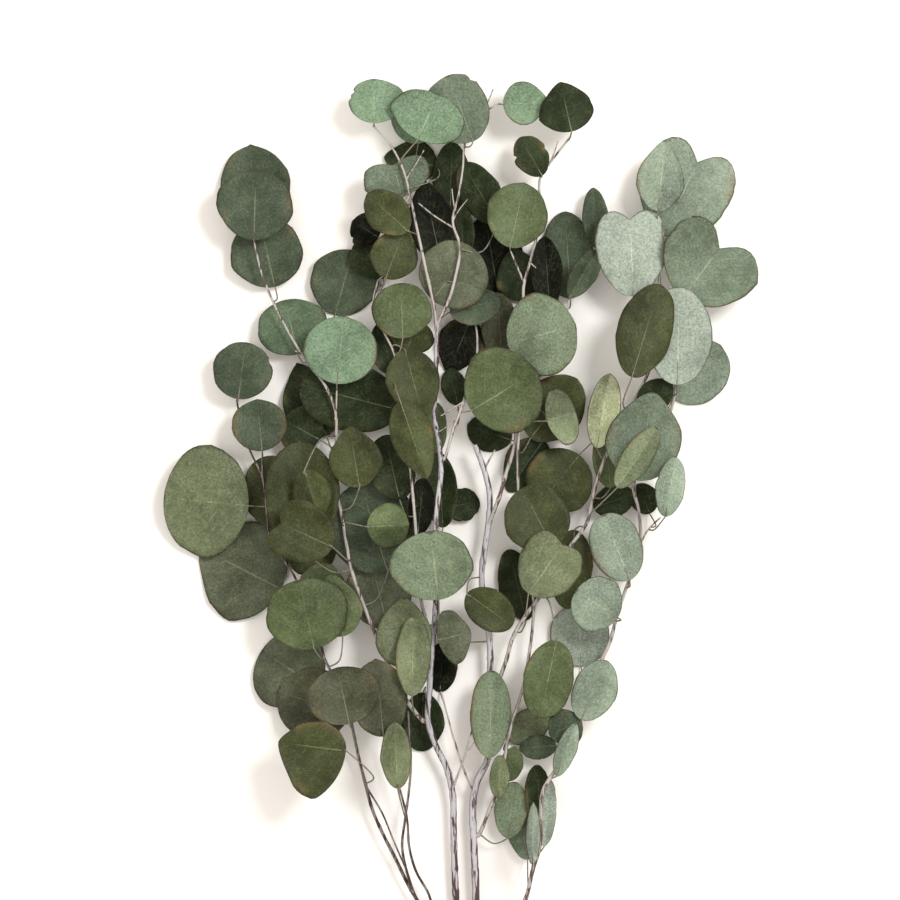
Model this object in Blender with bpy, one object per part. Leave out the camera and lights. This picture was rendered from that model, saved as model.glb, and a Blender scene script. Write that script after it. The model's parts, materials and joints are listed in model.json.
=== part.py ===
import math
import random

import bmesh
import bpy
import numpy as np

# Driving dimensions in metres
pixel_size = 0.0007
centre_px = (457.5, 588.0)
blade_half = 0.0004
joint_gap = 0.0004
layer_gap = 0.0016
station_step = 0.019
rest_run = 0.06
join_run = 0.012
stem_slope = 0.45
leaf_rise = 0.0015
petiole_radius = 0.0008

# Rows of a blade from base to tip and how wide each row is
row_places = (0.0, 0.1, 0.35, 0.68, 0.92, 1.0)
row_widths = {
    "round": (0.0, 0.58, 0.96, 0.95, 0.55, 0.0),
    "point": (0.0, 0.58, 0.97, 0.84, 0.34, 0.0),
    "heart": (0.0, 0.56, 0.95, 1.0, 0.56, 0.0),
}
heart_edges = (0.0, 0.1, 0.38, 0.76, 1.0, 1.0)
heart_ribs = (0.0, 0.1, 0.36, 0.68, 0.92, 1.0)
small_width = 45
small_places = (0.0, 0.12, 0.5, 0.88, 1.0)
small_widths = (0.0, 0.6, 1.0, 0.6, 0.0)

# Grid of heights that keeps each layer clear of the one below
cell_size = 0.0015
cell_columns = 380
cell_rows = 580
pile = np.zeros((cell_columns, cell_rows))

colours = {
    "bark": (0.56, 0.53, 0.51),
    "forest": (0.055, 0.085, 0.045),
    "moss": (0.14, 0.17, 0.075),
    "sage": (0.24, 0.33, 0.22),
    "slate": (0.17, 0.22, 0.19),
}


def stem(name, node, parent, radii, heights, points, sides=5, butt=False):
    return dict(kind="stem", name=name, node=node, parent=parent, radii=radii,
                heights=heights, points=points, sides=sides, butt=butt)


def leaf(on, base, tip, width, tone, **shape):
    return dict(kind="leaf", on=on, base=base, tip=tip, width=width, tone=tone, shape=shape)


# Everything in the order it lies, from the surface upwards
growth = [
    leaf("p", (254, 232), (249, 144), 70, "forest", form="round", lean=(0.95, 1.05)),
    leaf("p", (274, 286), (258, 218), 71, "forest"),
    leaf("p", (334, 314), (352, 249), 66, "forest"),
    leaf("p", (297, 354), (284, 299), 69, "moss"),
    leaf("p", (326, 436), (296, 364), 62, "forest"),
    leaf("p", (320, 440), (283, 420), 50, "forest"),
    leaf("a2", (280, 590), (199, 549), 110, "umber"),
    leaf("a2", (285, 530), (262, 457), 62, "moss"),
    leaf("p", (336, 550), (284, 548), 54, "moss"),
    leaf("p", (348, 596), (296, 596), 66, "forest"),
    leaf("a2", (318, 690), (260, 652), 84, "slate"),
    leaf("a2", (350, 715), (278, 693), 70, "slate"),
    leaf("p", (388, 628), (370, 556), 64, "moss"),
    leaf("p", (388, 572), (360, 482), 90, "moss", form="round"),
    leaf("m1", (445, 508), (480, 502), 36, "night"),
    leaf("o", (422, 472), (438, 404), 30, "night"),
    leaf("o", (400, 410), (300, 385), 68, "umber", form="round"),
    leaf("o", (400, 500), (385, 435), 46, "night"),
    leaf("o", (382, 275), (358, 238), 44, "moss"),
    leaf("n", (471, 318), (448, 372), 48, "night"),
    leaf("c2", (500, 300), (485, 215), 60, "night"),
    leaf("c2", (525, 300), (514, 247), 50, "night"),
    leaf("c2", (512, 440), (468, 425), 40, "moss"),
    leaf("v", (544, 440), (508, 492), 48, "forest"),
    leaf("v", (531, 438), (577, 379), 58, "night"),
    leaf("q", (580, 455), (540, 505), 68, "moss"),
    leaf("q", (527, 622), (509, 550), 38, "moss"),
    leaf("v", (571, 298), (566, 210), 50, "night"),
    leaf("v", (597, 247), (594, 187), 26, "forest"),
    leaf("v", (550, 308), (545, 236), 32, "forest"),
    leaf("q", (664, 234), (706, 146), 92, "sage", form="heart", notch=0.16),
    leaf("m1", (443, 528), (438, 452), 34, "night"),
    leaf("r", (675, 398), (722, 345), 64, "slate"),
    leaf("r4", (651, 514), (640, 484), 30, "night"),
    leaf("q", (594, 508), (635, 494), 34, "night"),
    leaf("q", (611, 488), (605, 430), 32, "moss"),
    leaf("r", (582, 668), (580, 605), 60, "slate"),
    leaf("v", (508, 742), (551, 714), 34, "forest"),
    leaf("r", (557, 747), (520, 750), 26, "night"),
    leaf("r", (528, 862), (518, 797), 34, "slate"),
    leaf("v", (508, 840), (515, 783), 34, "slate"),
    leaf("r", (541, 828), (537, 766), 30, "night"),
    leaf("r", (544, 846), (550, 780), 18, "sage"),
    leaf("k", (423, 694), (421, 754), 44, "night"),
    leaf("f1", (437, 164), (384, 155), 46, "night"),
    leaf("f2", (450, 216), (452, 140), 40, "forest"),
    leaf("f2", (498, 222), (463, 162), 42, "night"),
    leaf("f2", (463, 262), (462, 205), 24, "umber"),
    leaf("o", (378, 236), (352, 220), 38, "umber"),
    leaf("f1", (418, 142), (412, 90), 50, "night"),
    leaf("f2", (441, 262), (423, 180), 50, "night"),
    leaf("c2", (503, 365), (497, 292), 38, "forest"),
    leaf("o", (392, 375), (381, 322), 34, "umber"),
    leaf("o", (406, 352), (418, 320), 46, "night"),
    leaf("n", (458, 405), (450, 368), 26, "night"),
    leaf("o", (418, 535), (424, 478), 28, "forest"),
    leaf("q", (575, 530), (568, 610), 44, "forest"),
    leaf("k4", (440, 694), (443, 644), 32, "night"),
    leaf("v", (509, 782), (515, 748), 24, "moss"),
    stem("m1", "main_stem", None, (0.0033, 0.0021), (0.0033 * math.cos(math.pi / 8), 0.020), [
        (470, 1100), (469, 1050), (468, 1000), (460, 950), (456, 900), (454, 850), (453, 800),
        (450, 778), (436, 747), (428, 727), (429, 700), (432, 650), (436, 600), (436, 525),
        (438, 500), (441, 475), (440, 450), (435, 425), (435, 400), (436, 370), (437, 335)], 8),
    stem("c", "middle_limb", "m1", (0.0029, 0.0020), (0.006, 0.018), [
        (468, 1010), (474, 950), (476, 900), (475, 870), (473, 800), (481, 776), (488, 757),
        (490, 668), (490, 640), (483, 595), (482, 570), (489, 520), (489, 485), (480, 460),
        (475, 445)], 6),
    stem("a", "low_left_limb", "m1", (0.0018, 0.0013), (0.006, 0.012), [
        (463, 990), (440, 950), (416, 900), (404, 880), (395, 860), (380, 830), (366, 795),
        (365, 785)]),
    stem("a2", "low_left_limb", "a", (0.0013, 0.0008), (0.012, 0.014), [
        (366, 788), (362, 770), (354, 745), (353, 722), (340, 690), (326, 662), (305, 610),
        (296, 580), (270, 538), (266, 510), (262, 478), (246, 443), (237, 410), (236, 399)]),
    stem("a3", "low_left_limb", "a2", (0.0009, 0.0007), (0.014, 0.014), [
        (262, 478), (262, 465), (262, 451)], 4),
    stem("d", "low_left_limb", "a", (0.0012, 0.0009), (0.010, 0.014), [
        (416, 900), (409, 880), (402, 855), (405, 820), (408, 800), (411, 760), (409, 730),
        (408, 712)], 4),
    stem("d2", "low_left_limb", "a", (0.0012, 0.0009), (0.010, 0.014), [
        (440, 950), (430, 900), (419, 880), (410, 855), (407, 820), (398, 785), (390, 765),
        (385, 742)], 4),
    stem("b", "low_left_limb", "a", (0.0008, 0.0007), (0.012, 0.012), [
        (366, 788), (380, 810), (392, 838), (405, 868)], 4),
    stem("k4", "middle_limb", "c", (0.0009, 0.0007), (0.016, 0.016), [
        (473, 797), (462, 765), (457, 750), (447, 715), (441, 692)], 4),
    stem("k2", "main_stem", "m1", (0.0010, 0.0007), (0.016, 0.018), [
        (453, 792), (457, 779), (466, 752), (472, 730)], 4),
    stem("k", "main_stem", "m1", (0.0009, 0.0007), (0.012, 0.014), [
        (428, 727), (425, 715), (425, 702), (425, 690)], 4),
    stem("p", "left_limb", "m1", (0.0018, 0.0009), (0.012, 0.020), [
        (428, 729), (415, 712), (406, 700), (393, 675), (378, 640), (362, 600), (352, 570),
        (347, 545), (342, 515), (336, 480), (336, 440), (338, 420), (323, 381), (303, 357),
        (285, 325), (275, 306), (262, 275), (254, 240)]),
    stem("p2", "left_limb", "p", (0.0009, 0.0007), (0.018, 0.020), [
        (338, 420), (342, 408), (338, 395), (337, 384)], 4),
    stem("o", "upper_left_twig", "m1", (0.0015, 0.0008), (0.012, 0.020), [
        (431, 635), (421, 600), (418, 560), (415, 515), (409, 455), (404, 430), (399, 400),
        (397, 370), (392, 345), (382, 328), (372, 300), (372, 288), (378, 280)]),
    stem("n", "centre_twig", "m1", (0.0013, 0.0008), (0.016, 0.020), [
        (442, 475), (448, 445), (456, 424), (463, 402), (472, 375), (478, 350), (474, 312)], 4),
    stem("c2", "middle_limb", "c", (0.0018, 0.0009), (0.016, 0.022), [
        (489, 525), (495, 510), (503, 485), (510, 460), (515, 445), (517, 432), (514, 390),
        (508, 345), (521, 325), (524, 290), (523, 283), (530, 262), (537, 235), (541, 190),
        (540, 175), (545, 163), (562, 152), (571, 136)]),
    stem("x", "middle_limb", "c2", (0.0009, 0.0007), (0.022, 0.022), [
        (523, 283), (518, 265), (510, 250)], 4),
    stem("v", "inner_limb", "c", (0.0016, 0.0009), (0.012, 0.022), [
        (475, 862), (481, 830), (487, 815), (498, 792), (510, 730), (520, 700), (527, 670),
        (534, 608), (528, 560), (519, 500), (519, 435), (530, 400), (552, 350), (568, 310),
        (571, 290)]),
    stem("v2", "inner_limb", "v", (0.0008, 0.0006), (0.022, 0.022), [
        (570, 300), (580, 287), (595, 270), (597, 250)], 4),
    stem("q", "sweeping_limb", "c", (0.0018, 0.0010), (0.016, 0.024), [
        (489, 722), (497, 683), (505, 665), (512, 640), (520, 622), (537, 602), (552, 575),
        (567, 550), (585, 528), (592, 500), (598, 480), (603, 462), (615, 437), (632, 405),
        (640, 388), (655, 360), (658, 342), (660, 310), (660, 278), (659, 255), (664, 233),
        (657, 214)]),
    stem("r", "right_limb", "m1", (0.0020, 0.0012), (0.004, 0.022), [
        (469, 1045), (485, 1000), (500, 960), (527, 895), (532, 870), (538, 850), (541, 830),
        (540, 800), (548, 780), (568, 752), (578, 735), (582, 718), (590, 690), (602, 660),
        (612, 638), (617, 617), (626, 590), (638, 555), (641, 520), (634, 495), (634, 480),
        (648, 455), (660, 430), (670, 413), (677, 384)]),
    stem("r4", "right_limb", "r", (0.0008, 0.0006), (0.020, 0.022), [
        (638, 557), (643, 545), (650, 520), (661, 517)], 4),
    leaf("c2", (542, 176), (520, 137), 34, "forest", cup=0.5),
    leaf("p", (306, 552), (300, 442), 72, "moss", cup=0.3),
    leaf("a2", (343, 636), (331, 574), 50, "moss"),
    leaf("p", (360, 487), (350, 427), 55, "moss"),
    leaf("o", (405, 350), (424, 420), 54, "moss"),
    leaf("o", (386, 279), (405, 228), 50, "olive"),
    leaf("f2", (450, 312), (500, 300), 38, "sage"),
    leaf("c2", (508, 345), (575, 325), 82, "sage"),
    leaf("r", (665, 408), (645, 383), 40, "night"),
    leaf("q", (553, 548), (522, 488), 66, "moss"),
    leaf("r", (581, 720), (550, 735), 40, "night"),
    leaf("f1", (402, 197), (392, 161), 68, "slate", form="heart", notch=0.12),
    leaf("f1", (432, 300), (475, 250), 72, "moss", cup=-0.1),
    leaf("p", (404, 668), (404, 597), 58, "moss"),
    stem("f1", "crown", "m1", (0.0018, 0.0009), (0.021, 0.026), [
        (437.1, 333.6), (437.4, 322), (432, 298), (425, 265), (415, 220), (405, 175), (391, 146),
        (380, 138), (373, 126)], butt=True),
    stem("f2", "crown", "f1", (0.0017, 0.0008), (0.022, 0.024), [
        (437.5, 326), (447, 306), (456, 275), (460, 245), (452, 230), (457, 205), (464, 160),
        (463, 150), (470, 130), (480, 115), (490, 107), (500, 103)]),
    stem("f3", "crown", "f2", (0.0008, 0.0006), (0.024, 0.024), [
        (453, 230), (440, 220), (428, 212), (418, 203)], 4),
    leaf("p", (254, 240), (256, 171), 75, "forest", form="round"),
    leaf("p2", (337, 384), (344, 317), 74, "bright"),
    leaf("a2", (238, 399), (245, 342), 60, "forest", form="round", cup=0.2),
    leaf("a3", (262, 451), (257, 400), 54, "forest", form="round"),
    leaf("a2", (248, 506), (163, 498), 110, "moss", form="round", cup=-0.12),
    leaf("p", (306, 470), (320, 516), 40, "forest", cup=-0.9),
    leaf("p", (334, 546), (277, 520), 60, "moss", form="heart", notch=0.1),
    leaf("a2", (315, 648), (300, 579), 84, "moss", form="round", cup=-0.25),
    leaf("d2", (384, 735), (376, 660), 56, "umber"),
    leaf("a2", (350, 722), (338, 666), 74, "umber", form="round"),
    leaf("a", (347, 748), (280, 740), 84, "forest", form="point", lean=(1.25, 0.65), cup=0.15),
    leaf("d", (398, 786), (395, 720), 30, "moss", cup=0.7),
    leaf("p", (412, 694), (414, 616), 36, "moss", cup=-0.7),
    leaf("p", (368, 526), (409, 524), 45, "sage", cup=-0.7),
    leaf("m1", (439, 598), (430, 530), 82, "sage", form="round", notch=0.05, lean=(1.05, 0.9)),
    leaf("c", (438, 640), (471, 632), 58, "umber"),
    leaf("c", (467, 593), (512, 626), 42, "moss"),
    leaf("o", (401, 402), (427, 478), 46, "olive", cup=-0.4),
    leaf("o", (403, 339), (401, 284), 59, "moss"),
    leaf("n", (471, 411), (535, 372), 88, "olive", cup=-0.1),
    leaf("v", (547, 421), (576, 412), 58, "lime", cup=0.4),
    leaf("q", (528, 593), (564, 541), 62, "moss", form="heart", notch=0.06, cup=-0.15),
    leaf("x", (510, 248), (524, 184), 60, "moss"),
    leaf("v", (570, 297), (597, 251), 26, "forest", cup=0.6),
    leaf("q", (633, 297), (629, 211), 68, "sage", form="heart", notch=0.1),
    leaf("q", (657, 212), (664, 142), 48, "sage", cup=-0.6),
    leaf("q", (682, 298), (729, 236), 98, "slate", form="heart", notch=0.2),
    leaf("r", (676, 385), (678, 288), 66, "sage", form="round"),
    leaf("q", (630, 378), (658, 286), 54, "forest", form="round", cup=-0.2),
    leaf("q", (597, 448), (610, 374), 32, "lime", cup=0.9),
    leaf("r", (634, 480), (652, 393), 80, "slate", cup=-0.3),
    leaf("q", (615, 487), (655, 428), 30, "lime", cup=-0.8),
    leaf("r4", (663, 516), (674, 457), 30, "sage", cup=0.5),
    leaf("r", (629, 580), (603, 514), 52, "slate", cup=-0.4),
    leaf("r", (617, 617), (575, 590), 56, "slate", cup=-0.5),
    leaf("r", (581, 719), (606, 660), 44, "sage"),
    leaf("q", (556, 640), (540, 717), 50, "olive"),
    leaf("r", (556, 775), (575, 722), 20, "sage", cup=0.8),
    leaf("c", (489, 757), (492, 670), 42, "sage", cup=-0.6),
    leaf("v", (498, 797), (500, 755), 20, "moss", cup=0.6),
    leaf("r", (532, 862), (533, 802), 14, "sage", cup=0.9),
    leaf("f1", (374, 124), (374, 80), 54, "bright", form="round", lean=(0.9, 1.15), cup=-0.2),
    leaf("f2", (473, 142), (448, 76), 68, "slate", form="round", lean=(1.1, 0.85)),
    leaf("f1", (418, 141), (438, 96), 76, "bright", form="round"),
    leaf("f2", (503, 105), (548, 103), 46, "sage"),
    leaf("c2", (571, 133), (560, 84), 57, "forest", cup=-0.2),
    leaf("f1", (408, 232), (368, 196), 42, "olive"),
]


def place(point):
    return np.array([(point[0] - centre_px[0]) * pixel_size,
                     (centre_px[1] - point[1]) * pixel_size])


def cells(points):
    columns = np.clip((points[:, 0] / cell_size + cell_columns / 2).astype(int), 1, cell_columns - 2)
    rows = np.clip((points[:, 1] / cell_size + cell_rows / 2).astype(int), 1, cell_rows - 2)
    return columns, rows


# Heights the given points need to clear the pile
def clearance(points):
    columns, rows = cells(points)
    under = pile[columns, rows]
    return np.where(under > 0.0, under + layer_gap, 0.0)


def raise_pile(points, tops):
    columns, rows = cells(points)
    for shift in (-1, 0, 1):
        for lift in (-1, 0, 1):
            np.maximum.at(pile, (columns + shift, rows + lift), tops)


# Smooth curve through the given points, cut into equal steps
def smooth_route(points, step):
    knots = [place(point) for point in points]
    dense = []
    for index in range(len(knots) - 1):
        before = knots[max(index - 1, 0)]
        first = knots[index]
        second = knots[index + 1]
        after = knots[min(index + 2, len(knots) - 1)]
        for part in range(8):
            t = part / 8
            dense.append(0.5 * (2 * first + (second - before) * t
                                + (2 * before - 5 * first + 4 * second - after) * t ** 2
                                + (3 * first - before - 3 * second + after) * t ** 3))
    dense.append(knots[-1])
    dense = np.array(dense)
    lengths = np.concatenate([[0.0], np.cumsum(np.hypot(*np.diff(dense, axis=0).T))])
    count = max(2, int(round(lengths[-1] / step)) + 1)
    marks = np.linspace(0.0, lengths[-1], count)
    return np.column_stack([np.interp(marks, lengths, dense[:, 0]),
                            np.interp(marks, lengths, dense[:, 1])]), marks


# Nearest place on a laid stem to a point: index of the station, share of the step, distance
def nearest_on(route, point):
    best = (0, 0.0, 1e9)
    for index in range(len(route) - 1):
        start = route[index][:2]
        run = route[index + 1][:2] - start
        share = float(np.clip(np.dot(point - start, run) / max(np.dot(run, run), 1e-12), 0, 1))
        distance = float(np.hypot(*(start + run * share - point)))
        if distance < best[2]:
            best = (index, share, distance)
    return best


def along(route, place_on):
    index, share = place_on[0], place_on[1]
    return route[index] * (1 - share) + route[index + 1] * share


# Lay a stem: each station clears what is under it, and slopes stay gentle
def lay_stem(item, stems):
    fine, marks = smooth_route(item["points"], 0.003)
    total = marks[-1]
    parent = stems.get(item["parent"])
    level_run = 0.0 if parent is not None else rest_run
    shares = np.clip((marks - level_run) / (total - level_run), 0, 1)
    radii = item["radii"][0] + (item["radii"][1] - item["radii"][0]) * shares
    start_height = item["heights"][0]
    if parent is not None:
        near = nearest_on(parent["route"], fine[0])
        joint = along(parent["route"], near)
        start_height = joint[2]
        if parent["node"] != item["node"] and not item["butt"]:
            keep = 0
            while keep < len(fine) - 3:
                near = nearest_on(parent["route"], fine[keep])
                run = fine[keep + 1] - fine[keep]
                line = parent["route"][near[0] + 1][:2] - parent["route"][near[0]][:2]
                cosine = abs(np.dot(run, line)) / (np.hypot(*run) * np.hypot(*line))
                cosine *= math.cos(math.pi / item["sides"])
                if near[2] > along(parent["route"], near)[3] + joint_gap + radii[keep] * cosine:
                    break
                keep += 1
            if keep > 0:
                low, high = fine[keep - 1], fine[keep]
                for part in range(11):
                    trial = low + (high - low) * part / 10
                    near = nearest_on(parent["route"], trial)
                    if near[2] > along(parent["route"], near)[3] + joint_gap + radii[keep] * cosine:
                        break
                fine = np.vstack([trial, fine[keep:]]) if part < 10 else fine[keep:]
                start_height = along(parent["route"], nearest_on(parent["route"], fine[0]))[2]
                marks = np.concatenate([[0.0], np.cumsum(np.hypot(*np.diff(fine, axis=0).T))])
                total = marks[-1]
                radii = item["radii"][0] + (item["radii"][1] - item["radii"][0]) * marks / total
    runs = np.gradient(fine, axis=0)
    runs /= np.hypot(runs[:, 0], runs[:, 1])[:, None]
    across = np.column_stack([-runs[:, 1], runs[:, 0]])
    need = np.zeros(len(fine))
    for share in (-1.0, 0.0, 1.0):
        under = clearance(fine + across * radii[:, None] * share)
        need = np.maximum(need, np.where(under > 0, under + radii, 0.0))
    if parent is not None:
        need[marks < join_run * 0.5] = 0.0
    count = max(2, int(round(total / station_step)) + 1)
    stations = np.linspace(0.0, total, count)
    heights = item["heights"][0] + (item["heights"][1] - item["heights"][0]) * stations / total
    if parent is None:
        heights = item["heights"][0] + (item["heights"][1] - item["heights"][0]) * np.clip(
            (stations - rest_run) / 0.35, 0, 1)
    step = total / (count - 1)
    for index in range(count):
        close = np.abs(marks - stations[index]) <= step * 1.02
        heights[index] = max(heights[index], need[close].max())
    if parent is not None:
        heights[0] = start_height
        ramp = np.clip(stations / join_run, 0, 1)
        heights = start_height + (heights - start_height) * ramp * (2 - ramp)
    for index in range(count):
        slack = heights - stem_slope * np.abs(stations - stations[index])
        heights[index] = max(heights[index], slack.max() if parent is None or index else -1)
    heights_fine = np.interp(marks, stations, heights)
    for share in (-1.0, 0.0, 1.0):
        raise_pile(fine + across * radii[:, None] * share, heights_fine + radii)
    route = np.column_stack([np.interp(stations, marks, fine[:, 0]),
                             np.interp(stations, marks, fine[:, 1]), heights,
                             np.interp(stations, marks, radii)])
    if parent is not None and parent["node"] == item["node"]:
        route[0, :3] = joint[:3]
    stems[item["name"]] = dict(node=item["node"], route=route, sides=item["sides"])


# Rows of a blade: left edge, rib and right edge, with the base of the rib at height zero
def blade_rows(item, number):
    draw = random.Random(number * 7 + 3)
    shape = item["shape"]
    width = item["width"] * pixel_size / 2
    base = place(item["base"])
    run = place(item["tip"]) - base
    length = float(np.hypot(*run))
    ahead = run / length
    left = np.array([-ahead[1], ahead[0]])
    narrow = item["width"] * pixel_size < 0.5 * length
    pitch = shape.get("pitch", draw.uniform(-0.08, 0.10))
    roll = shape.get("roll", draw.uniform(-0.14, 0.14))
    cup = shape.get("cup", 0.5 if narrow else draw.uniform(0.03, 0.22))
    droop = shape.get("droop", draw.uniform(-0.06, 0.14))
    turn = draw.uniform(0, 6.28)
    notch = shape.get("notch", 0.0)
    lean = shape.get("lean", (1.0, 1.0))
    places = ribs = row_places
    form = shape.get("form", "point" if draw.random() < 0.3 and not notch else "round")
    widths = row_widths[form]
    if item["width"] < small_width:
        places = ribs = small_places
        widths = small_widths
    if form == "heart":
        places, ribs = heart_edges, heart_ribs
    rows = []
    for place_on, centre, share in zip(places, ribs, widths):
        if centre > 0.9:
            centre -= notch
        row = []
        for side in (1, 0, -1):
            swell = 1 + draw.uniform(-0.05, 0.05)
            out = side * share * width * swell * lean[0 if side > 0 else 1]
            spot = base + ahead * length * (place_on if side else centre) + left * out
            height = (pitch * length * place_on + roll * out + cup * abs(out)
                      - droop * length * place_on ** 2
                      + 0.0012 * abs(side) * math.sin(9 * place_on + turn + side))
            row.append([spot[0], spot[1], height if share and side else
                        pitch * length * centre - droop * length * centre ** 2])
        rows.append(row)
    return np.array(rows)


def blade_samples(rows):
    samples = []
    for index in range(len(rows) - 1):
        for part in (0.0, 0.25, 0.5, 0.75, 1.0):
            edge_left, rib, edge_right = rows[index] * (1 - part) + rows[index + 1] * part
            for share in np.linspace(0, 1, 9):
                samples.append(rib * (1 - share) + edge_left * share)
                samples.append(rib * (1 - share) + edge_right * share)
    return np.array(samples)


# Lay a blade on the pile and find where its stalk leaves the stem
def lay_leaf(item, number, stems):
    rows = blade_rows(item, number)
    samples = blade_samples(rows)
    level = -samples[:, 2].min() + blade_half
    if item["on"] in stems:
        route = stems[item["on"]]["route"]
        spot = along(route, nearest_on(route, rows[0, 1, :2]))
        level = max(level, spot[2] + leaf_rise)
    need = clearance(samples) + blade_half * 1.3 - samples[:, 2]
    level = max(level, need.max())
    rows[:, :, 2] += level
    samples[:, 2] += level
    raise_pile(samples, samples[:, 2] + blade_half)
    item["rows"] = rows


def lay_everything():
    stems = {}
    for number, item in enumerate(growth):
        if item["kind"] == "stem":
            lay_stem(item, stems)
        else:
            lay_leaf(item, number, stems)
    return stems


# Closed many-sided tube along a route of x, y, height and radius
def tube_mesh(route, sides):
    centres = route[:, :3]
    runs = np.gradient(centres, axis=0)
    vertices = []
    for centre, run, radius in zip(centres, runs, route[:, 3]):
        run = run / np.linalg.norm(run)
        across = np.cross(run, (0.0, 0.0, 1.0))
        if np.linalg.norm(across) < 1e-4:
            across = np.array([1.0, 0.0, 0.0])
        across = across / np.linalg.norm(across)
        upward = np.cross(across, run)
        for side in range(sides):
            angle = 2 * math.pi * (side + 0.5) / sides
            vertices.append(centre + (across * math.sin(angle) - upward * math.cos(angle)) * radius)
    faces = []
    rings = len(route)
    for ring in range(rings - 1):
        for side in range(sides):
            a = ring * sides + side
            b = ring * sides + (side + 1) % sides
            faces.append((a, a + sides, b))
            faces.append((b, a + sides, b + sides))
    for side in range(1, sides - 1):
        faces.append((0, side, side + 1))
        last = (rings - 1) * sides
        faces.append((last, last + side + 1, last + side))
    return np.array(vertices), faces


def blade_mesh(rows):
    count = len(rows)
    points = [rows[0, 1]]
    for row in rows[1:-1]:
        points.extend(row)
    points.append(rows[-1, 1])
    points = np.array(points)

    def corner(row, side):
        if row == 0:
            return 0
        if row == count - 1:
            return len(points) - 1
        return 1 + (row - 1) * 3 + side

    upper = []
    for row in range(count - 1):
        for side in (0, 1):
            ring = [corner(row, side + 1), corner(row + 1, side + 1), corner(row + 1, side),
                    corner(row, side)]
            ring = [ring[k] for k in range(4) if ring[k] != ring[k - 1]]
            for k in range(1, len(ring) - 1):
                upper.append((ring[0], ring[k], ring[k + 1]))
    normals = np.zeros_like(points)
    for a, b, c in upper:
        normals[[a, b, c]] += np.cross(points[b] - points[a], points[c] - points[a])
    normals /= np.linalg.norm(normals, axis=1)[:, None]
    top = points + normals * blade_half
    bottom = points - normals * blade_half
    shift = len(points)
    faces = list(upper)
    faces += [(c + shift, b + shift, a + shift) for a, b, c in upper]
    edge = [0] + [corner(row, 2) for row in range(1, count - 1)] + [shift - 1]
    edge += [corner(row, 0) for row in range(count - 2, 0, -1)]
    for here, there in zip(edge, edge[1:] + edge[:1]):
        faces.append((here + shift, there + shift, there))
        faces.append((here + shift, there, here))
    vertices = np.vstack([top, bottom])
    vertices[:, 2] = np.maximum(vertices[:, 2], 0.0)
    return vertices, faces


# Stalk from the stem's middle to a little way inside the blade
def stalk_route(item, stems):
    rows = item["rows"]
    base = rows[0, 1]
    inside = rows[0, 1] * 0.45 + rows[1, 1] * 0.55
    route = stems[item["on"]]["route"]
    back = base[:2] - rows[-1, 1, :2]
    back = back / np.hypot(*back)
    reach = nearest_on(route, base[:2])[2]
    near = nearest_on(route, base[:2] + back * reach * 0.6)
    spot = along(route, near)
    middle = spot[:3] * 0.5 + base * 0.5
    middle[:2] += back * reach * 0.12
    radius = petiole_radius
    stalk = [np.append(spot[:3], radius)]
    if np.hypot(*(base - spot[:3])[:2]) > 0.020:
        stalk.append(np.append(middle, radius))
    if np.linalg.norm(base - spot[:3]) > 0.004:
        knee = base + (base - inside) * 0.35 + (0.0, 0.0, 0.00023)
        stalk.append(np.append(knee, radius))
    stalk.append(np.append(inside, radius * 0.85))
    return np.array(stalk)


def make_object(name, vertices, faces):
    mesh = bpy.data.meshes.new(name)
    mesh.from_pydata([tuple(vertex) for vertex in vertices], [], [tuple(face) for face in faces])
    mesh.update()
    made = bpy.data.objects.new(name, mesh)
    bpy.context.scene.collection.objects.link(made)
    return made


# Join the pieces of one node into one closed body
def fuse(first, others):
    group = bpy.data.collections.new("pieces")
    bpy.context.scene.collection.children.link(group)
    for other in others:
        bpy.context.scene.collection.objects.unlink(other)
        group.objects.link(other)
    union = first.modifiers.new("union", "BOOLEAN")
    union.operation = "UNION"
    union.operand_type = "COLLECTION"
    union.collection = group
    union.solver = "MANIFOLD"
    bpy.context.view_layer.objects.active = first
    first.select_set(True)
    bpy.ops.object.modifier_apply(modifier=union.name)
    first.select_set(False)
    for other in others:
        bpy.data.objects.remove(other)
    bpy.data.collections.remove(group)


# Weld tiny edges, triangulate and keep the one outer body
def tidy(made):
    work = bmesh.new()
    work.from_mesh(made.data)
    bmesh.ops.triangulate(work, faces=work.faces)
    left = set(work.verts)
    bodies = []
    while left:
        seed = left.pop()
        body = {seed}
        front = [seed]
        while front:
            for edge in front.pop().link_edges:
                for vert in edge.verts:
                    if vert not in body:
                        body.add(vert)
                        front.append(vert)
        left -= body
        bodies.append(body)
    bodies.sort(key=len)
    for body in bodies[:-1]:
        bmesh.ops.delete(work, geom=list(body), context="VERTS")
    work.to_mesh(made.data)
    work.free()
    made.data.update()


def finish_material(made, colour, roughness):
    material = bpy.data.materials.new(made.name + "_finish")
    material.use_nodes = True
    shader = material.node_tree.nodes["Principled BSDF"]
    shader.inputs["Base Color"].default_value = (*colours[colour], 1.0)
    shader.inputs["Roughness"].default_value = roughness
    shader.inputs["Metallic"].default_value = 0.0
    made.data.materials.append(material)


node_colours = {
    "main_stem": "bark",
    "middle_limb": "moss",
    "low_left_limb": "moss",
    "left_limb": "forest",
    "upper_left_twig": "moss",
    "centre_twig": "moss",
    "inner_limb": "forest",
    "sweeping_limb": "sage",
    "right_limb": "slate",
    "crown": "sage",
}


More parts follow.
